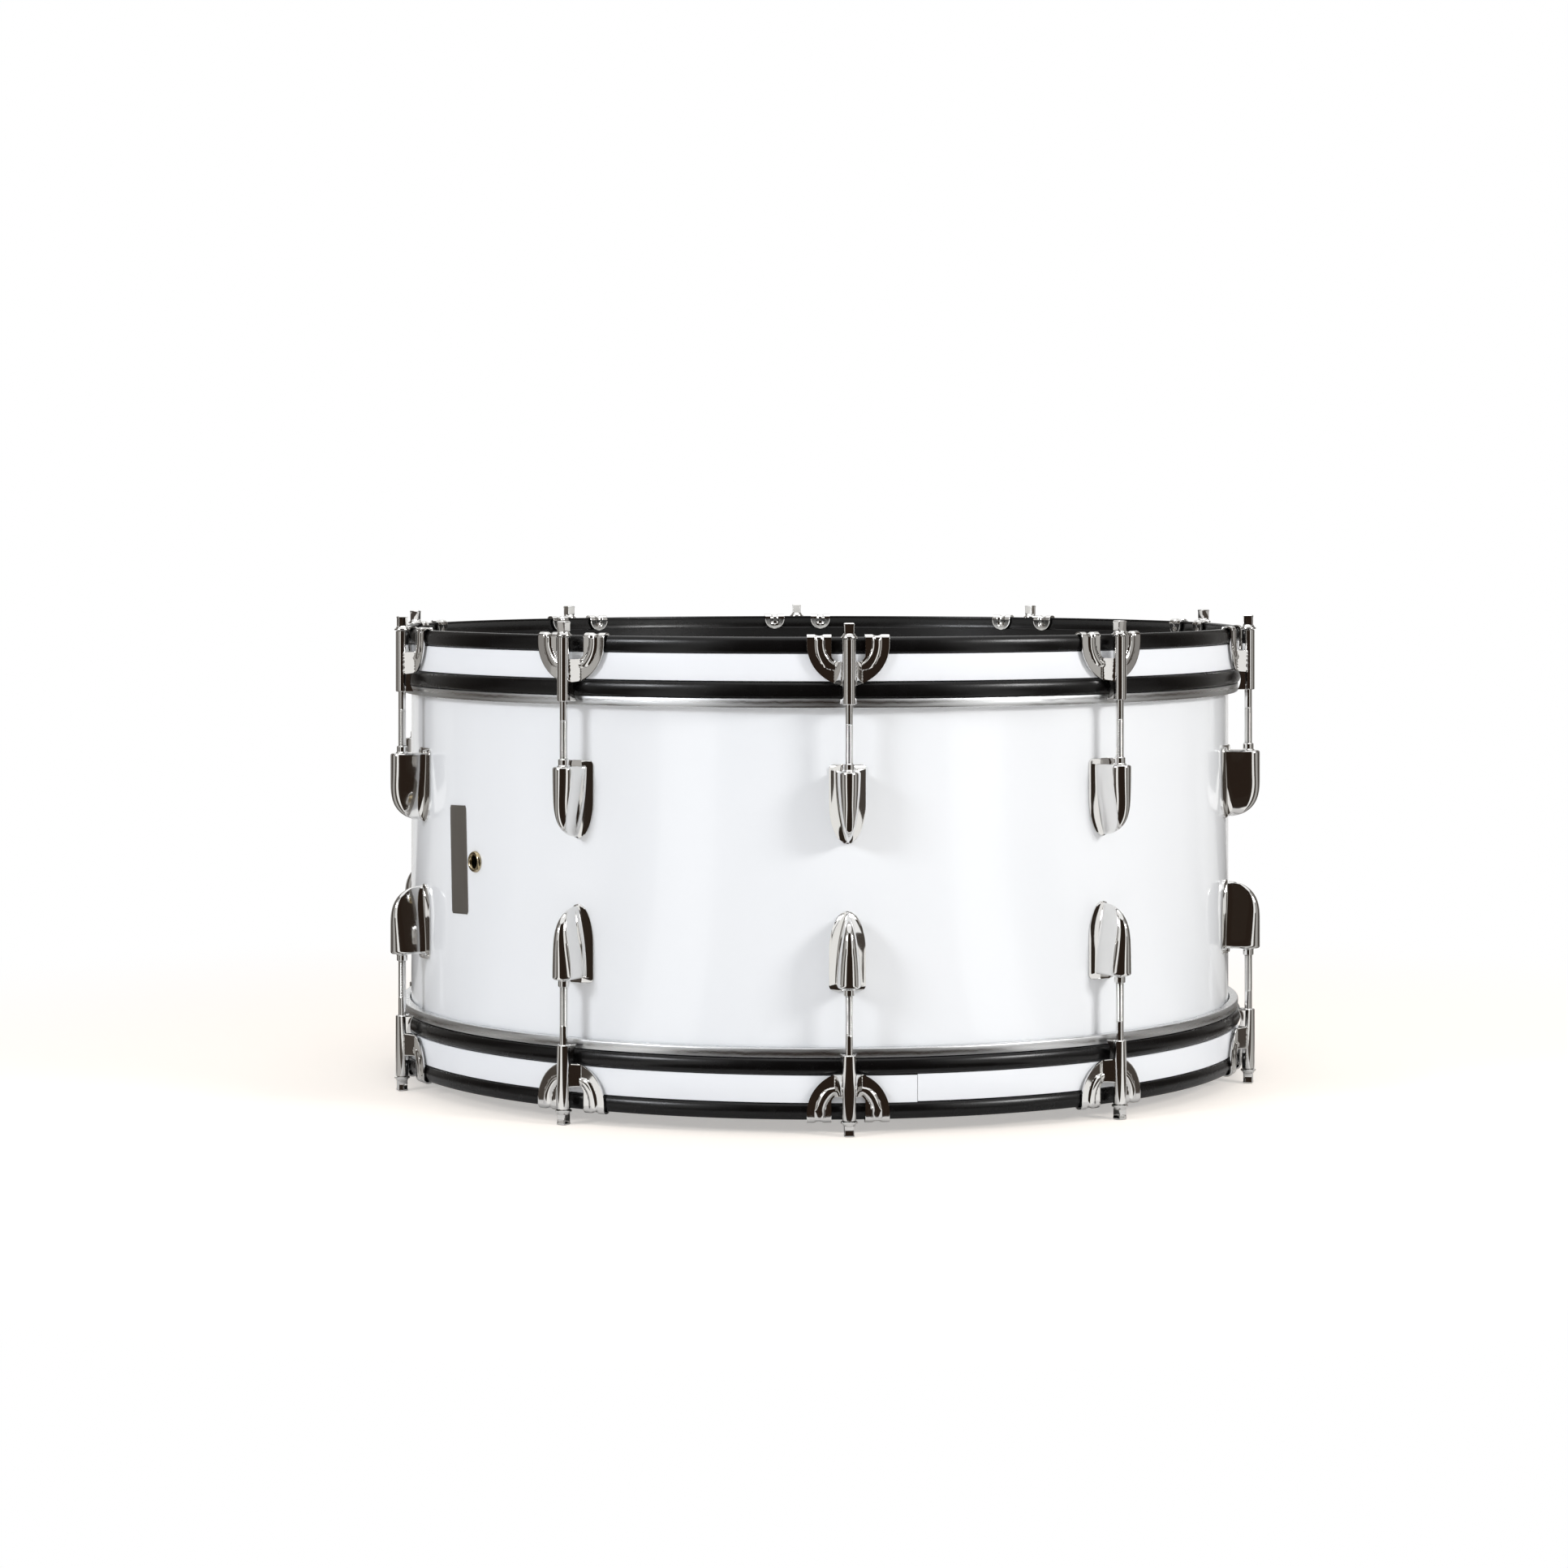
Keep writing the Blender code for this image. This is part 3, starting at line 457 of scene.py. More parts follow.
hoop_profile = np.vstack([outer[0], outer[1], foot, inner_wall[::-1], rim])
hoop_mesh = cleaned(grid_mesh("hoop", around(hoop_profile, RING_STEPS), wrap_rows=True, wrap_columns=True))
at_ends("hoop", hoop_mesh, enamel, sharp=50.0)

strip_top = HOOP_EDGE - 2 * BEAD_HALF - GAP
strip_bottom = HOOP_SEAT + 2 * BEAD_HALF + GAP
strip_inner = HOOP_WALL + 0.05
strip = np.vstack([
    arc((strip_inner + INLAY_THICKNESS - 0.4, strip_top - 0.4), (0.4, 0.4), 90, 0, 4),
    arc((strip_inner + INLAY_THICKNESS - 0.4, strip_bottom + 0.4), (0.4, 0.4), 0, -90, 4),
    [[strip_inner, strip_bottom], [strip_inner, strip_top]],
])
sweep = np.linspace(0.0, 2 * np.pi - 0.0012, RING_STEPS)
droop = 0.5 * np.clip(1 - sweep / 0.5, 0, 1) ** 2
strip_x = strip[None, :, 0] * np.sin(sweep)[:, None]
strip_y = -strip[None, :, 0] * np.cos(sweep)[:, None]
strip_z = strip[None, :, 1] + droop[:, None]
strip_points = np.stack([strip_x, strip_y, strip_z], axis=-1)
inlay_mesh = cleaned(grid_mesh("inlay", strip_points, wrap_columns=True, caps=True))
inlay_mesh.transform(Matrix.Rotation(math.pi - JOINT_ANGLE, 4, "Z"))
for end in ("top", "bottom"):
    turned_mesh = inlay_mesh.copy()
    turned_mesh.transform(Matrix.Rotation(math.pi, 4, "Z") if end == "bottom" else Matrix.Identity(4))
    add_piece(f"{end}_inlay_fine", at_station(turned_mesh, 0, end == "top"), inlay_plastic, "drum",
              f"{end}_hoop_inlay")
print("hoop", len(hoop_mesh.polygons), "faces, inlay", len(inlay_mesh.polygons))

# %% [markdown]
# ## Lugs
#
# A lug is a zinc casting: a plate with round corners and a long elliptical tip, and on it a dome like half a
# bullet. Its shape is worked out section by section along its length. Each section starts at one edge of
# the plate, climbs its stepped rim, slopes up to the dome, goes over it and comes down the other side.

# %% Lug surface
PLATE_HALF = 11.3
PLATE_TIP = 20.5
PLATE_END = 69.5
PLATE_TAPER = 25.0
PLATE_CORNER = 3.5
PLATE_RIM = 1.5
PLATE_RISE = 2.8
FLANGE_SLOPE = 0.36
DOME_HALF = 7.2
DOME_DEPTH = 24.0
DOME_END = PLATE_END - 3.4
DOME_TIP = PLATE_TIP + 1.2
DOME_CREST = 0.4
DOME_ROUND = 1.6
ROD_RADIUS = 295.7


def plate_half_width(z):
    """An ellipse at the tip, straight sides, and a quarter circle at each upper corner."""
    taper = np.clip((PLATE_TIP + PLATE_TAPER - z) / PLATE_TAPER, 0, 1)
    tip = PLATE_HALF * np.sqrt(1 - taper**2)
    past = np.clip(z - (PLATE_END - PLATE_CORNER), 0, PLATE_CORNER)
    return tip - PLATE_CORNER + np.sqrt(PLATE_CORNER**2 - past**2)


def dome_size(z):
    """Half width 7.2 (1 - u^2)^0.75, and depth falling past the crest as the root of 1 - v^3."""
    u = np.clip((DOME_END - z) / (DOME_END - DOME_TIP), 0, 1)
    v = np.clip((u - DOME_CREST) / (1 - DOME_CREST), 0, 1)
    half = DOME_HALF * (1 - u**2) ** 0.75
    depth = PLATE_RISE + (DOME_DEPTH - PLATE_RISE) * np.sqrt(1 - v**3)
    past = np.clip(z - (DOME_END - DOME_ROUND), 0, DOME_ROUND) / DOME_ROUND
    inset = DOME_ROUND * (1 - np.sqrt(np.clip(1 - past**2, 0, 1)))
    return half - inset, depth - inset


def lug_points():
    """Stack the lug's sections from the tip to the rod's end, each as (across, out from the shell)."""
    share = (1 - np.cos(np.linspace(0, np.pi, 46))) / 2
    body = DOME_TIP + (DOME_END - DOME_TIP) * share
    tip = np.array([PLATE_TIP, PLATE_TIP + 0.15, PLATE_TIP + 0.6])
    end = PLATE_END - PLATE_CORNER * (1 - np.sin(np.linspace(0.1, np.pi / 2, 8)))
    heights = np.concatenate([tip, body, [DOME_END], end])
    domed = np.concatenate([np.zeros(3, bool), np.ones(len(body), bool), np.zeros(1 + len(end), bool)])
    rows = []
    for z, has_dome in zip(heights, domed):
        width = max(float(plate_half_width(z)), 0.02)
        half, depth = dome_size(z)
        if not has_dome:
            half, depth = 0.35 * width, PLATE_RISE * min(1.0, 0.5 + width / PLATE_HALF / 2)
        half = min(half, 0.8 * width)
        rim = min(PLATE_RIM, depth)
        top = min(PLATE_RISE, depth)
        edge = [
            (width, 0.0), (width, 0.62 * rim), (width - 0.08 * width, 0.86 * rim),
            (width - 0.12 * width, rim),
            (half + 0.30 * (width - half), rim + FLANGE_SLOPE * 0.58 * (width - half)),
            (half + 0.10 * (width - half), rim + FLANGE_SLOPE * 0.80 * (width - half)),
            (half, top + 0.10 * (depth - top)),
        ]
        shoulder = max(top, depth - 1.25 * half)
        sides = [(half, top + s * (shoulder - top)) for s in (0.3, 0.65)]
        over = arc((0, shoulder), (half, depth - shoulder), 0, 180, 25)
        right = np.array(edge + sides)
        rows.append(np.vstack([right, over, right[::-1] * [-1, 1]]))
    across = np.stack(rows)
    x = across[..., 0]
    out = np.sqrt(SHELL_RADIUS**2 - x**2) + across[..., 1]
    z = np.broadcast_to(heights[:, None], x.shape)
    return np.stack([x, -out, z], axis=-1)


# %% [markdown]
# Out of the lug's flat end comes the neck of its swivel nut, which takes the rod's thread.

# %% Lugs at their stations
NECK_RADIUS = 3.5
NECK_TOP = DOME_END + 4.6
BORE_RADIUS = 2.9

neck_profile = np.array([
    [BORE_RADIUS, NECK_TOP - 3.0], [BORE_RADIUS, NECK_TOP - 0.2], [BORE_RADIUS + 0.2, NECK_TOP],
    [NECK_RADIUS - 0.4, NECK_TOP], [NECK_RADIUS, NECK_TOP - 0.4], [NECK_RADIUS, DOME_END + 0.9],
    [NECK_RADIUS + 0.7, DOME_END + 0.2], [NECK_RADIUS + 0.7, DOME_END - 3.0], [BORE_RADIUS, DOME_END - 3.0],
])
neck_points = around(neck_profile, 32, ROD_RADIUS)
neck_mesh = cleaned(grid_mesh("neck", neck_points, wrap_rows=True, wrap_columns=True))
lug_mesh = cleaned(grid_mesh("lug", lug_points(), wrap_columns=True, caps=True))
lug_mesh = joined("lug", [lug_mesh, neck_mesh])
for upper, end in ((True, "top"), (False, "bottom")):
    for station in range(STATIONS):
        placed = at_station(lug_mesh, station, upper)
        add_piece(f"{end}_lug_{station + 1:02d}", placed, chrome, "drum")
print("lug", len(lug_mesh.polygons), "faces")

# %% [markdown]
# ## Claws
#
# A claw is one pressing. Its plate is a half-round with a notch, so two wings are left. Each wing has an
# embossed rib, folds over the hoop's edge and ends inside in a half-disc. Below the notch the sheet rises
# in two slanted webs to a tube that guides the rod. The sheet's middle face is a grid between the notch's
# outline and the rim, raised by a height map, and Solidify gives it its thickness.

# %% Claw sheet
CLAW_HALF = 25.35
CLAW_TOP = HOOP_EDGE + GAP + 1.3
CLAW_HEIGHT = 31.2
SHEET = 1.3
NOTCH_HALF = 10.4
NOTCH_DEPTH = 16.4
NOTCH_CORNER = 4.0
FOLD_RADIUS = 2.4
PLATE_MIDDLE = HOOP_WALL + BEAD_RISE + GAP + SHEET / 2
LEG_MIDDLE = HOOP_WALL - HOOP_SHEET - GAP - SHEET / 2
TIP_DROP = 8.7
RIB_HALF = 2.6
RIB_HEIGHT = 1.25
RIB_INSET = 7.9
WEB_ROOT = 8.2
TUBE_RADIUS = 4.2
TUBE_TOP = HOOP_EDGE - 0.8
TUBE_LENGTH = 40.1
LOW = CLAW_TOP - CLAW_HEIGHT
CENTRE = LOW + CLAW_HALF
STRAIGHT_TOP = CLAW_TOP - FOLD_RADIUS - SHEET / 2


def even(points, count):
    """Spread a polyline's points evenly along its length."""
    steps = np.linalg.norm(np.diff(points, axis=0), axis=1)
    length = np.concatenate([[0], np.cumsum(steps)])
    where = np.linspace(0, length[-1], count)
    return np.column_stack([np.interp(where, length, points[:, 0]), np.interp(where, length, points[:, 1])])


def relief(x, z):
    """Height of the pressing above the flat plate: two ribs, and the webs that rise to the tube.

    A rib follows the rim at a fixed inset, with a rounded section and round ends. A web climbs linearly
    from its root to the tube's flank, over the tube the sheet follows its round.
    """
    below = z < CENTRE
    radius = np.where(below, np.hypot(x, z - CENTRE), np.abs(x))
    off_line = np.abs(radius - (CLAW_HALF - RIB_INSET))
    along_end = np.clip(np.abs(np.minimum(z - (CLAW_TOP - 19.0), 0)), 0, None)
    distance = np.hypot(off_line, along_end)
    rib = RIB_HEIGHT * np.sqrt(np.clip(1 - (distance / RIB_HALF) ** 2, 0, 1))
    reach = ROD_RADIUS - PLATE_MIDDLE
    web = reach * np.clip((WEB_ROOT - np.abs(x)) / (WEB_ROOT - 0.9 * TUBE_RADIUS), 0, 1)
    return np.maximum(rib, np.where(z < CLAW_TOP - NOTCH_DEPTH + 1.0, web, 0))


def bent(x, out, z):
    """Bend a flat piece round the hoop: the distance across becomes an arc of the same length."""
    angle = x / PLATE_MIDDLE
    return np.stack([out * np.sin(angle), -out * np.cos(angle), z], axis=-1)


def claw_sheet():
    """The middle face of the pressing: a band between notch and rim, and the two folded wings."""
    notch_low = CLAW_TOP - NOTCH_DEPTH
    corner_z = notch_low + NOTCH_CORNER
    inner_right = np.vstack([
        [[0.0, notch_low]],
        arc((NOTCH_HALF - NOTCH_CORNER, corner_z), (NOTCH_CORNER, NOTCH_CORNER), -90, 0, 7),
        [[NOTCH_HALF, STRAIGHT_TOP]],
    ])
    rim_right = np.vstack([arc((0, CENTRE), (CLAW_HALF, CLAW_HALF), -90, 0, 40), [[CLAW_HALF, STRAIGHT_TOP]]])
    columns = 64
    inner = even(inner_right, columns)
    outer_line = even(rim_right, columns)
    rows = 25
    share = np.linspace(0, 1, rows)[:, None]
    x = inner[None, :, 0] * (1 - share) + outer_line[None, :, 0] * share
    z = inner[None, :, 1] * (1 - share) + outer_line[None, :, 1] * share
    x = np.hstack([-x[:, :0:-1], x])
    z = np.hstack([z[:, :0:-1], z])
    band = bent(x, PLATE_MIDDLE + relief(x, z), z)
    meshes = [grid_mesh("claw_band", band)]
    tip_radius = (CLAW_HALF - NOTCH_HALF) / 2
    across = PLATE_MIDDLE - LEG_MIDDLE
    fold = min(FOLD_RADIUS, across / 2)
    bend_out = arc((PLATE_MIDDLE - fold, CLAW_TOP - SHEET / 2 - fold), (fold, fold), 0, 90, 8)
    bend_in = arc((LEG_MIDDLE + fold, CLAW_TOP - SHEET / 2 - fold), (fold, fold), 90, 180, 8)
    leg_low = TUBE_TOP - TIP_DROP
    leg = np.column_stack([np.full(14, LEG_MIDDLE), np.linspace(bend_in[-1, 1], leg_low + 0.01, 15)[1:]])
    route = np.vstack([bend_out, bend_in, leg])
    narrow = np.clip((leg_low + tip_radius - route[:, 1]) / tip_radius, 0, 1)
    narrow[:len(bend_out) + len(bend_in)] = 0
    half = tip_radius * np.sqrt(1 - narrow**2)
    wing = (CLAW_HALF + NOTCH_HALF) / 2
    spread = np.linspace(-1, 1, rows)
    for side in (-1, 1):
        wing_x = side * (wing + half[:, None] * spread[None, :])
        bump = np.sqrt(np.clip(1 - ((np.abs(wing_x) - wing) / RIB_HALF) ** 2, 0, 1))
        lengths = np.concatenate([[0], np.cumsum(np.linalg.norm(np.diff(route, axis=0), axis=1))])
        fade = np.clip((lengths[-1] - 3.0 - lengths) / 2.0, 0, 1) ** 0.5
        normal = np.gradient(route, axis=0)
        normal = normal / np.linalg.norm(normal, axis=1)[:, None]
        raised = RIB_HEIGHT * 0.7 * bump * fade[:, None]
        start = np.clip(lengths / 1.5, 0, 1)[:, None]
        raised = raised * start + RIB_HEIGHT * bump * (1 - start)
        out = route[:, 0][:, None] + raised * normal[:, 1][:, None] * -1
        height = route[:, 1][:, None] + raised * normal[:, 0][:, None]
        meshes.append(grid_mesh("claw_wing", bent(wing_x, out, height)))
    return cleaned(joined("claw_sheet", meshes), merge=2e-5)


# %% [markdown]
# Solidify and Bevel are applied once, on the front claw, and the finished mesh is then copied to the other
# stations. The tube is turned, with its bore, and two flared feet hold its lower end to the plate.

# %% Claw assembly


def thickened(mesh, thickness, bevel):
    """Give an open sheet its thickness, half to each side, and soften its edges."""
    sheet = bpy.data.objects.new("sheet", mesh)
    bpy.context.scene.collection.objects.link(sheet)
    wall_modifier = sheet.modifiers.new("wall", "SOLIDIFY")
    wall_modifier.thickness = thickness * MM
    wall_modifier.offset = 0.0
    wall_modifier.use_even_offset = True
    soften = sheet.modifiers.new("edges", "BEVEL")
    soften.width = bevel * MM
    soften.segments = 2
    soften.limit_method = "ANGLE"
    soften.angle_limit = math.radians(50)
    graph = bpy.context.evaluated_depsgraph_get()
    result = bpy.data.meshes.new_from_object(sheet.evaluated_get(graph))
    bpy.data.objects.remove(sheet, do_unlink=True)
    return cleaned(result)


def foot_mesh(side):
    """A small web behind the tube's lower end: it narrows to a neck and flares towards the drum."""
    z = np.linspace(TUBE_TOP - TUBE_LENGTH, LOW + 2.0, 16)
    share = (z - z[0]) / (z[-1] - z[0])
    reach = 4.6 + 1.9 * np.abs(2 * share - 1) ** 2
    flare = 3.4 + 1.6 * (1 - share) ** 2
    depth = np.linspace(0, 1, 8)[None, :]
    x = side * (3.3 + (flare[:, None] - 3.3) * depth)
    out = ROD_RADIUS - 1.0 - (reach[:, None] - 1.0) * depth
    return grid_mesh("foot", np.stack([x, -out, np.broadcast_to(z[:, None], x.shape)], axis=-1))


tube_low = TUBE_TOP - TUBE_LENGTH
tube_profile = np.array([
    [3.0, tube_low + 0.3], [3.3, tube_low], [TUBE_RADIUS - 0.4, tube_low], [TUBE_RADIUS, tube_low + 0.4],
    [TUBE_RADIUS, TUBE_TOP - 0.5], [TUBE_RADIUS - 0.5, TUBE_TOP], [3.3, TUBE_TOP], [3.0, TUBE_TOP - 0.3],
])
tube_points = around(tube_profile, 40, ROD_RADIUS)
tube_mesh = cleaned(grid_mesh("tube", tube_points, wrap_rows=True, wrap_columns=True))
sheet_mesh = thickened(claw_sheet(), SHEET, 0.25)
feet = [thickened(cleaned(foot_mesh(side)), 1.1, 0.2) for side in (-1, 1)]
claw_mesh = joined("claw", [sheet_mesh, tube_mesh] + feet)
for upper, end in ((True, "top"), (False, "bottom")):
    for station in range(STATIONS):
        name = f"{end}_claw_{station + 1:02d}"
        add_piece(f"{name}_fine", at_station(claw_mesh, station, upper), chrome, name, name)
print("claw", len(claw_mesh.polygons), "faces")

# %% [markdown]
# ## Tension rods
#
# A key rod has a square head with soft edges, a conical collar on a thin washer and a smooth shank. The last
# part of the rod is threaded: its radius follows a triangle wave that climbs one pitch a turn.

# %% Tension rods
ROD_SEAT = TUBE_TOP + GAP
SHANK_RADIUS = 2.45
THREAD_RADIUS = 2.75
THREAD_PITCH = 1.058
THREAD_TOP = 95.0
THREAD_DEPTH = 0.55
ROD_END = ROD_SEAT - 98.0
COLLAR_TOP = ROD_SEAT + 3.0
HEAD_HALF = 3.05
HEAD_TOP = COLLAR_TOP + 6.3

collar_profile = np.array([
    [0.01, COLLAR_TOP], [3.0, COLLAR_TOP], [3.4, COLLAR_TOP - 0.2],
    [4.3, ROD_SEAT + 1.3], [4.4, ROD_SEAT + 1.1],
    [5.0, ROD_SEAT + 1.0], [5.1, ROD_SEAT + 0.8], [5.1, ROD_SEAT + 0.2], [4.95, ROD_SEAT],
    [SHANK_RADIUS, ROD_SEAT], [SHANK_RADIUS, THREAD_TOP], [0.01, THREAD_TOP],
])
collar_mesh = cleaned(grid_mesh("collar", around(collar_profile, 40, ROD_RADIUS), wrap_rows=True,
                                wrap_columns=True))
thread_z = np.arange(ROD_END, THREAD_TOP + 0.5, THREAD_PITCH / 6)
thread_angle = np.arange(24) * 2 * np.pi / 24
phase = thread_z[:, None] / THREAD_PITCH - thread_angle[None, :] / (2 * np.pi)
ridge = np.abs(2 * (phase - np.floor(phase)) - 1)
fade_out = np.clip((THREAD_TOP + 0.5 - thread_z) / 1.5, 0, 1)[:, None]
thread_r = (THREAD_RADIUS - THREAD_DEPTH * (1 - ridge)) * fade_out + (SHANK_RADIUS - 0.1) * (1 - fade_out)
thread_points = np.stack([
    thread_r * np.sin(thread_angle)[None, :],
    -ROD_RADIUS - thread_r * np.cos(thread_angle)[None, :],
    np.broadcast_to(thread_z[:, None], thread_r.shape),
], axis=-1)
thread_mesh = cleaned(grid_mesh("thread", thread_points, wrap_columns=True, caps=True))


def square_section(half, corner_radius, z):
    """A square with round corners at one height."""
    reach = half - corner_radius
    corners = ((reach, reach, 0), (-reach, reach, 90), (-reach, -reach, 180), (reach, -reach, 270))
    ring = np.vstack([arc((cx, cy), (corner_radius,) * 2, start, start + 90, 5) for cx, cy, start in corners])
    return np.column_stack([ring[:, 0], ring[:, 1] - ROD_RADIUS, np.full(len(ring), z)])


head_rows = [
    square_section(HEAD_HALF - 0.05, 0.5, COLLAR_TOP - 0.5),
    square_section(HEAD_HALF - 0.05, 0.5, HEAD_TOP - 1.8),
    square_section(HEAD_HALF + 0.12, 0.5, HEAD_TOP - 1.2),
    square_section(HEAD_HALF + 0.12, 0.5, HEAD_TOP - 0.5),
    square_section(HEAD_HALF - 0.30, 0.5, HEAD_TOP - 0.05), square_section(HEAD_HALF - 0.6, 0.5, HEAD_TOP),
]
key_mesh = cleaned(grid_mesh("key_head", np.stack(head_rows), wrap_columns=True, caps=True))
rod_mesh = joined("rod", [collar_mesh, thread_mesh, key_mesh])
for upper, end in ((True, "top"), (False, "bottom")):
    for station in range(STATIONS):
        name = f"{end}_rod_{station + 1:02d}"
        add_piece(f"{name}_fine", at_station(rod_mesh, station, upper), chrome, name, name)
print("rod", len(rod_mesh.polygons), "faces")

# %% [markdown]
# ## Vent and badge
#
# The eyelet is a rolled tube with a round lip outside and inside. Next to it a long foil badge, left bare,
# follows the shell's curve.

# %% Vent eyelet and badge
VENT_LIP = 6.9
VENT_BORE = 4.0
VENT_RISE = 2.2
BADGE_ANGLE = math.radians(-60.0)
BADGE_HALF_WIDTH = 10.75
BADGE_HALF_LENGTH = 35.0
BADGE_THICKNESS = 0.45
BADGE_LEAN = math.radians(2.4)
BADGE_CORNER = 1.2

lip_middle = (VENT_LIP + VENT_BORE) / 2
lip_half = (VENT_LIP - VENT_BORE) / 2
lip = arc((lip_middle, SHELL_RADIUS + 0.1), (lip_half, VENT_RISE), 0, 180, 14)
inner_lip = arc((lip_middle, SHELL_INNER - 0.1), (lip_half, 1.0), 180, 360, 8)
barrel = np.array([[5.1, SHELL_INNER - 0.1], [5.1, SHELL_RADIUS + 0.1]])
vent_points = around(np.vstack([lip, inner_lip, barrel]), 48)
vent_mesh = grid_mesh("vent", vent_points, wrap_rows=True, wrap_columns=True)
vent_mesh = cleaned(vent_mesh)
vent_mesh.transform(Matrix.Rotation(VENT_ANGLE, 4, "Z") @ Matrix.Rotation(math.pi / 2, 4, "X"))
add_piece("vent_fine", at_station(vent_mesh, 0, True), nickel, "drum", "vent_grommet")

u = np.linspace(-1, 1, 13)[:, None]
v = np.linspace(-1, 1, 41)[None, :]
from_end = np.clip(np.abs(v) * BADGE_HALF_LENGTH - (BADGE_HALF_LENGTH - BADGE_CORNER), 0, BADGE_CORNER)
half_width = BADGE_HALF_WIDTH - BADGE_CORNER + np.sqrt(BADGE_CORNER**2 - from_end**2)
flat_x = u * half_width
flat_z = np.broadcast_to(v * BADGE_HALF_LENGTH, flat_x.shape)
lean_x = flat_x * math.cos(BADGE_LEAN) - flat_z * math.sin(BADGE_LEAN)
lean_z = flat_x * math.sin(BADGE_LEAN) + flat_z * math.cos(BADGE_LEAN)
badge_turn = lean_x / SHELL_RADIUS
badge_out = SHELL_RADIUS + 0.05 + BADGE_THICKNESS / 2
badge_points = np.stack([badge_out * np.sin(badge_turn), -badge_out * np.cos(badge_turn), lean_z], axis=-1)
badge_mesh = thickened(cleaned(grid_mesh("badge", badge_points)), BADGE_THICKNESS, 0.1)
badge_mesh.transform(Matrix.Rotation(BADGE_ANGLE, 4, "Z"))
add_piece("badge_fine", at_station(badge_mesh, 0, True), foil, "drum", "badge_plate")

# %% [markdown]
# ## Floor, surroundings and light
#
# The floor is white to the camera and keeps a soft shadow. Polished metal shows what is around it, so for
# reflections only a ring of panels and ground, dark in front and lighter behind, stands round the drum,
# with two white screens, as in a dark room with lit screens.

# %% Floor
FLOOR_SHADED = 0.35
FLOOR_WHITE = 0.95
FLOOR_HALF = 30
FLOOR_GLOW = 0.42

floor_mesh = bpy.data.meshes.new("floor")
floor_corners = [(FLOOR_HALF * x, FLOOR_HALF * y, 0) for x, y in ((-1, -1), (1, -1), (1, 1), (-1, 1))]
floor_mesh.from_pydata(floor_corners, [], [(0, 1, 2, 3)])
floor = bpy.data.objects.new("floor", floor_mesh)
bpy.context.scene.collection.objects.link(floor)
floor_white = bpy.data.materials.new("floor_white")
floor_white.use_nodes = True
tree = floor_white.node_tree
tree.nodes.clear()
glow = add_node(tree, "ShaderNodeEmission", values={"Color": linear("#FFFDFB"), "Strength": FLOOR_GLOW})
camera_floor = add_node(tree, "ShaderNodeBsdfDiffuse", values={"Color": linear("#DFD6CC")})
both = add_node(tree, "ShaderNodeAddShader", links={0: glow.outputs[0], 1: camera_floor.outputs[0]})
away = add_node(tree, "ShaderNodeVectorMath", settings={"operation": "LENGTH"},
                links={0: add_node(tree, "ShaderNodeTexCoord").outputs["Object"]})
blend = add_node(tree, "ShaderNodeMapRange", settings={"interpolation_type": "SMOOTHSTEP"},
                 values={"From Min": FLOOR_SHADED, "From Max": FLOOR_WHITE},
                 links={"Value": away.outputs["Value"]})
far_white = add_node(tree, "ShaderNodeEmission", values={"Color": (1, 1, 1, 1), "Strength": 1.0})
camera_view = add_node(tree, "ShaderNodeMixShader", links={
    0: blend.outputs["Result"], 1: both.outputs[0], 2: far_white.outputs[0],
})
plain_floor = add_node(tree, "ShaderNodeBsdfDiffuse", values={"Color": linear("#DDDBD9")})
light_path = add_node(tree, "ShaderNodeLightPath")
seen = add_node(tree, "ShaderNodeMixShader", links={
    0: light_path.outputs["Is Camera Ray"], 1: plain_floor.outputs[0], 2: camera_view.outputs[0],
})
add_node(tree, "ShaderNodeOutputMaterial", links={"Surface": seen.outputs[0]})
floor.data.materials.append(floor_white)

# %% Surroundings seen only in reflections
PANEL_RADIUS = 2.9
PANEL_TOP = 3.1
GROUND_START = 0.335
PANELS = 24
FLOOR_LIFT = 0.004
SCREEN_RADIUS = 2.8
SCREEN_ANGLES = [math.radians(a) for a in (-50, 48)]
SCREEN_HALF = math.radians(4.0)
SCREEN_LOW = 0.25
SCREEN_HIGH = 2.4
# From the front to the back, 15 degrees each, and the same on both sides.
PANEL_SHADES = ["#2B221C", "#2E2620", "#F6F5F3", "#4A443F", "#B4B2AF", "#8E8B88", "#3A332E", "#6B6661",
                "#A7A5A2", "#4A443F", "#D9D8D6", "#F4F4F3"]


def panel_material(shade):
    """A panel that sends out its own colour and takes no light."""
    material = bpy.data.materials.new(f"panel_{shade[1:]}")
    material.use_nodes = True
    tree = material.node_tree
    tree.nodes.clear()
    glow = add_node(tree, "ShaderNodeEmission", values={"Color": linear(shade), "Strength": 1.0})
    add_node(tree, "ShaderNodeOutputMaterial", links={"Surface": glow.outputs[0]})
    return material


def add_surround(name, points, shade):
    """Add a flat piece of the surroundings that only reflections show."""
    mesh = bpy.data.meshes.new(name)
    mesh.from_pydata(points, [], [(0, 1, 2, 3)])
    obj = bpy.data.objects.new(name, mesh)
    obj.data.materials.append(panel_material(shade))
    for sight in ("visible_camera", "visible_diffuse", "visible_shadow", "visible_transmission"):
        setattr(obj, sight, False)
    bpy.context.scene.collection.objects.link(obj)


def ring_point(radius, angle, height):
    """A point on a circle about the drum, at an angle from the front."""
    return (radius * math.sin(angle), -radius * math.cos(angle), height)


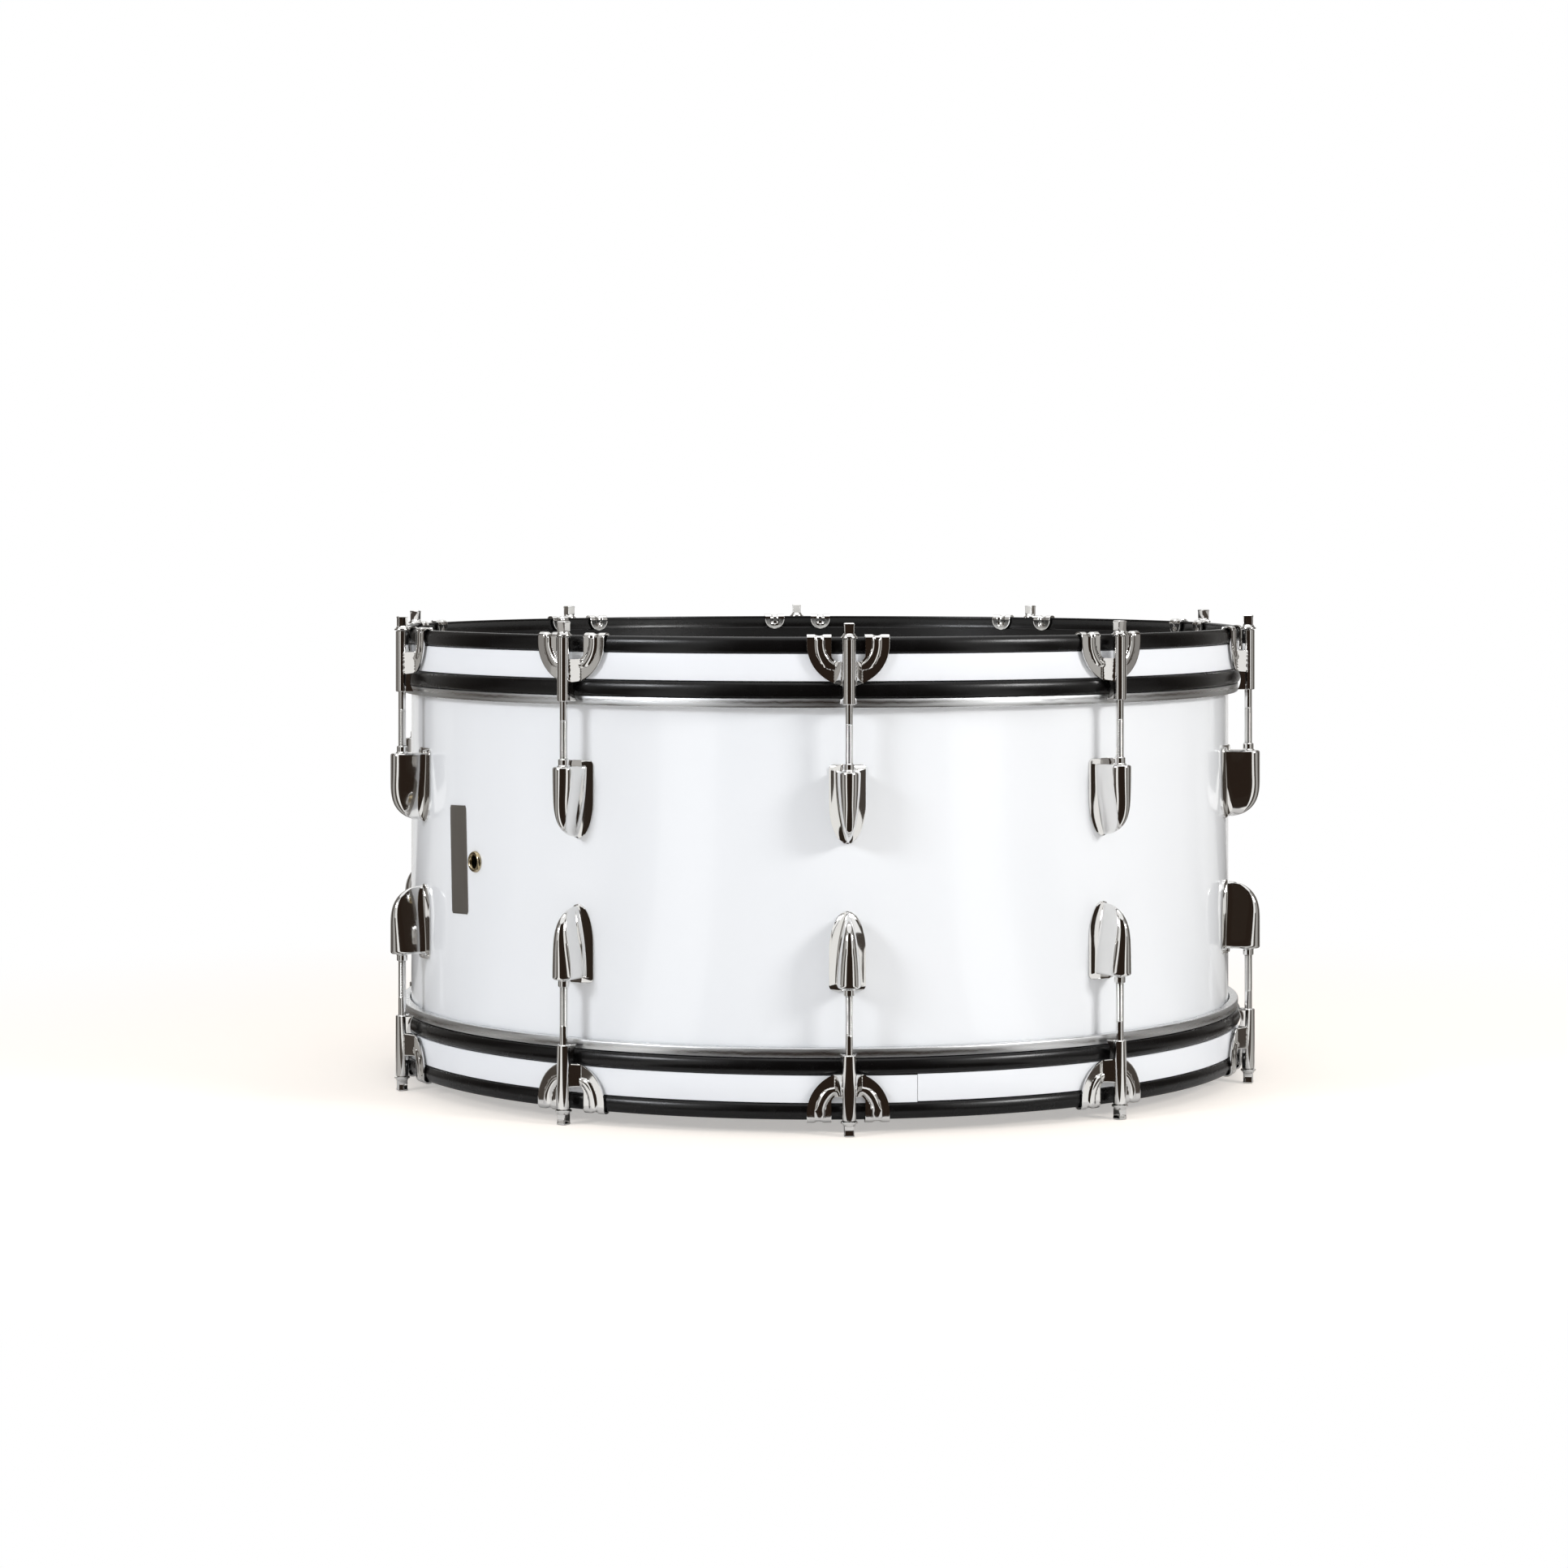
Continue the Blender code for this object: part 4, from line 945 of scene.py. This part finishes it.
for number in range(PANELS):
    start = 2 * math.pi * number / PANELS
    end = 2 * math.pi * (number + 1) / PANELS
    shade = PANEL_SHADES[min(number, PANELS - 1 - number)]
    wall = [ring_point(PANEL_RADIUS, a, z) for a, z in (
        (start, 0.0), (end, 0.0), (end, PANEL_TOP), (start, PANEL_TOP))]
    add_surround(f"panel_{number:02d}", wall, shade)
    ground = [ring_point(r, a, FLOOR_LIFT) for r, a in (
        (GROUND_START, start), (PANEL_RADIUS, start), (PANEL_RADIUS, end), (GROUND_START, end))]
    add_surround(f"ground_{number:02d}", ground, shade)
for number, middle in enumerate(SCREEN_ANGLES):
    start, end = (middle - SCREEN_HALF, middle + SCREEN_HALF)
    screen = [ring_point(SCREEN_RADIUS, a, z) for a, z in (
        (start, SCREEN_LOW), (end, SCREEN_LOW), (end, SCREEN_HIGH), (start, SCREEN_HIGH))]
    add_surround(f"screen_{number:02d}", screen, "#FFFFFF")

# %% Light
world = bpy.data.worlds.new("world")
world.use_nodes = True
bpy.context.scene.world = world
tree = world.node_tree
tree.nodes.clear()
path_node = add_node(tree, "ShaderNodeLightPath")
soft = add_node(tree, "ShaderNodeBackground", values={"Color": linear("#FAFBFD"), "Strength": 0.55})
white = add_node(tree, "ShaderNodeBackground", values={"Color": (1, 1, 1, 1), "Strength": 1.0})
either = add_node(tree, "ShaderNodeMath", settings={"operation": "MAXIMUM"}, links={
    0: path_node.outputs["Is Camera Ray"], 1: path_node.outputs["Is Glossy Ray"],
})
any_view = add_node(tree, "ShaderNodeMath", settings={"operation": "MAXIMUM"}, links={
    0: either.outputs[0], 1: path_node.outputs["Is Transmission Ray"],
})
sky = add_node(tree, "ShaderNodeMixShader", links={
    0: any_view.outputs[0], 1: soft.outputs[0], 2: white.outputs[0],
})
add_node(tree, "ShaderNodeOutputWorld", links={"Surface": sky.outputs[0]})


def add_lamp(name, location, size, power, colour):
    """A square soft lamp that faces the drum's middle."""
    lamp_data = bpy.data.lights.new(name, "AREA")
    lamp_data.size = size
    lamp_data.energy = power
    lamp_data.color = linear(colour)[:3]
    lamp = bpy.data.objects.new(name, lamp_data)
    lamp.location = location
    aim = Matrix.Translation(location).translation - Matrix.Translation((0, 0, MIDDLE)).translation
    lamp.rotation_euler = aim.to_track_quat("Z", "Y").to_euler()
    bpy.context.scene.collection.objects.link(lamp)


add_lamp("right", (2.1, -1.7, 1.3), 0.6, 34.0, "#FFFFFF")
add_lamp("left", (-2.1, -1.7, 1.3), 0.6, 27.0, "#F7FAFF")
add_lamp("top", (0.0, 0.3, 2.4), 1.8, 12.0, "#FFFFFF")

bpy.context.scene.view_settings.view_transform = "Standard"
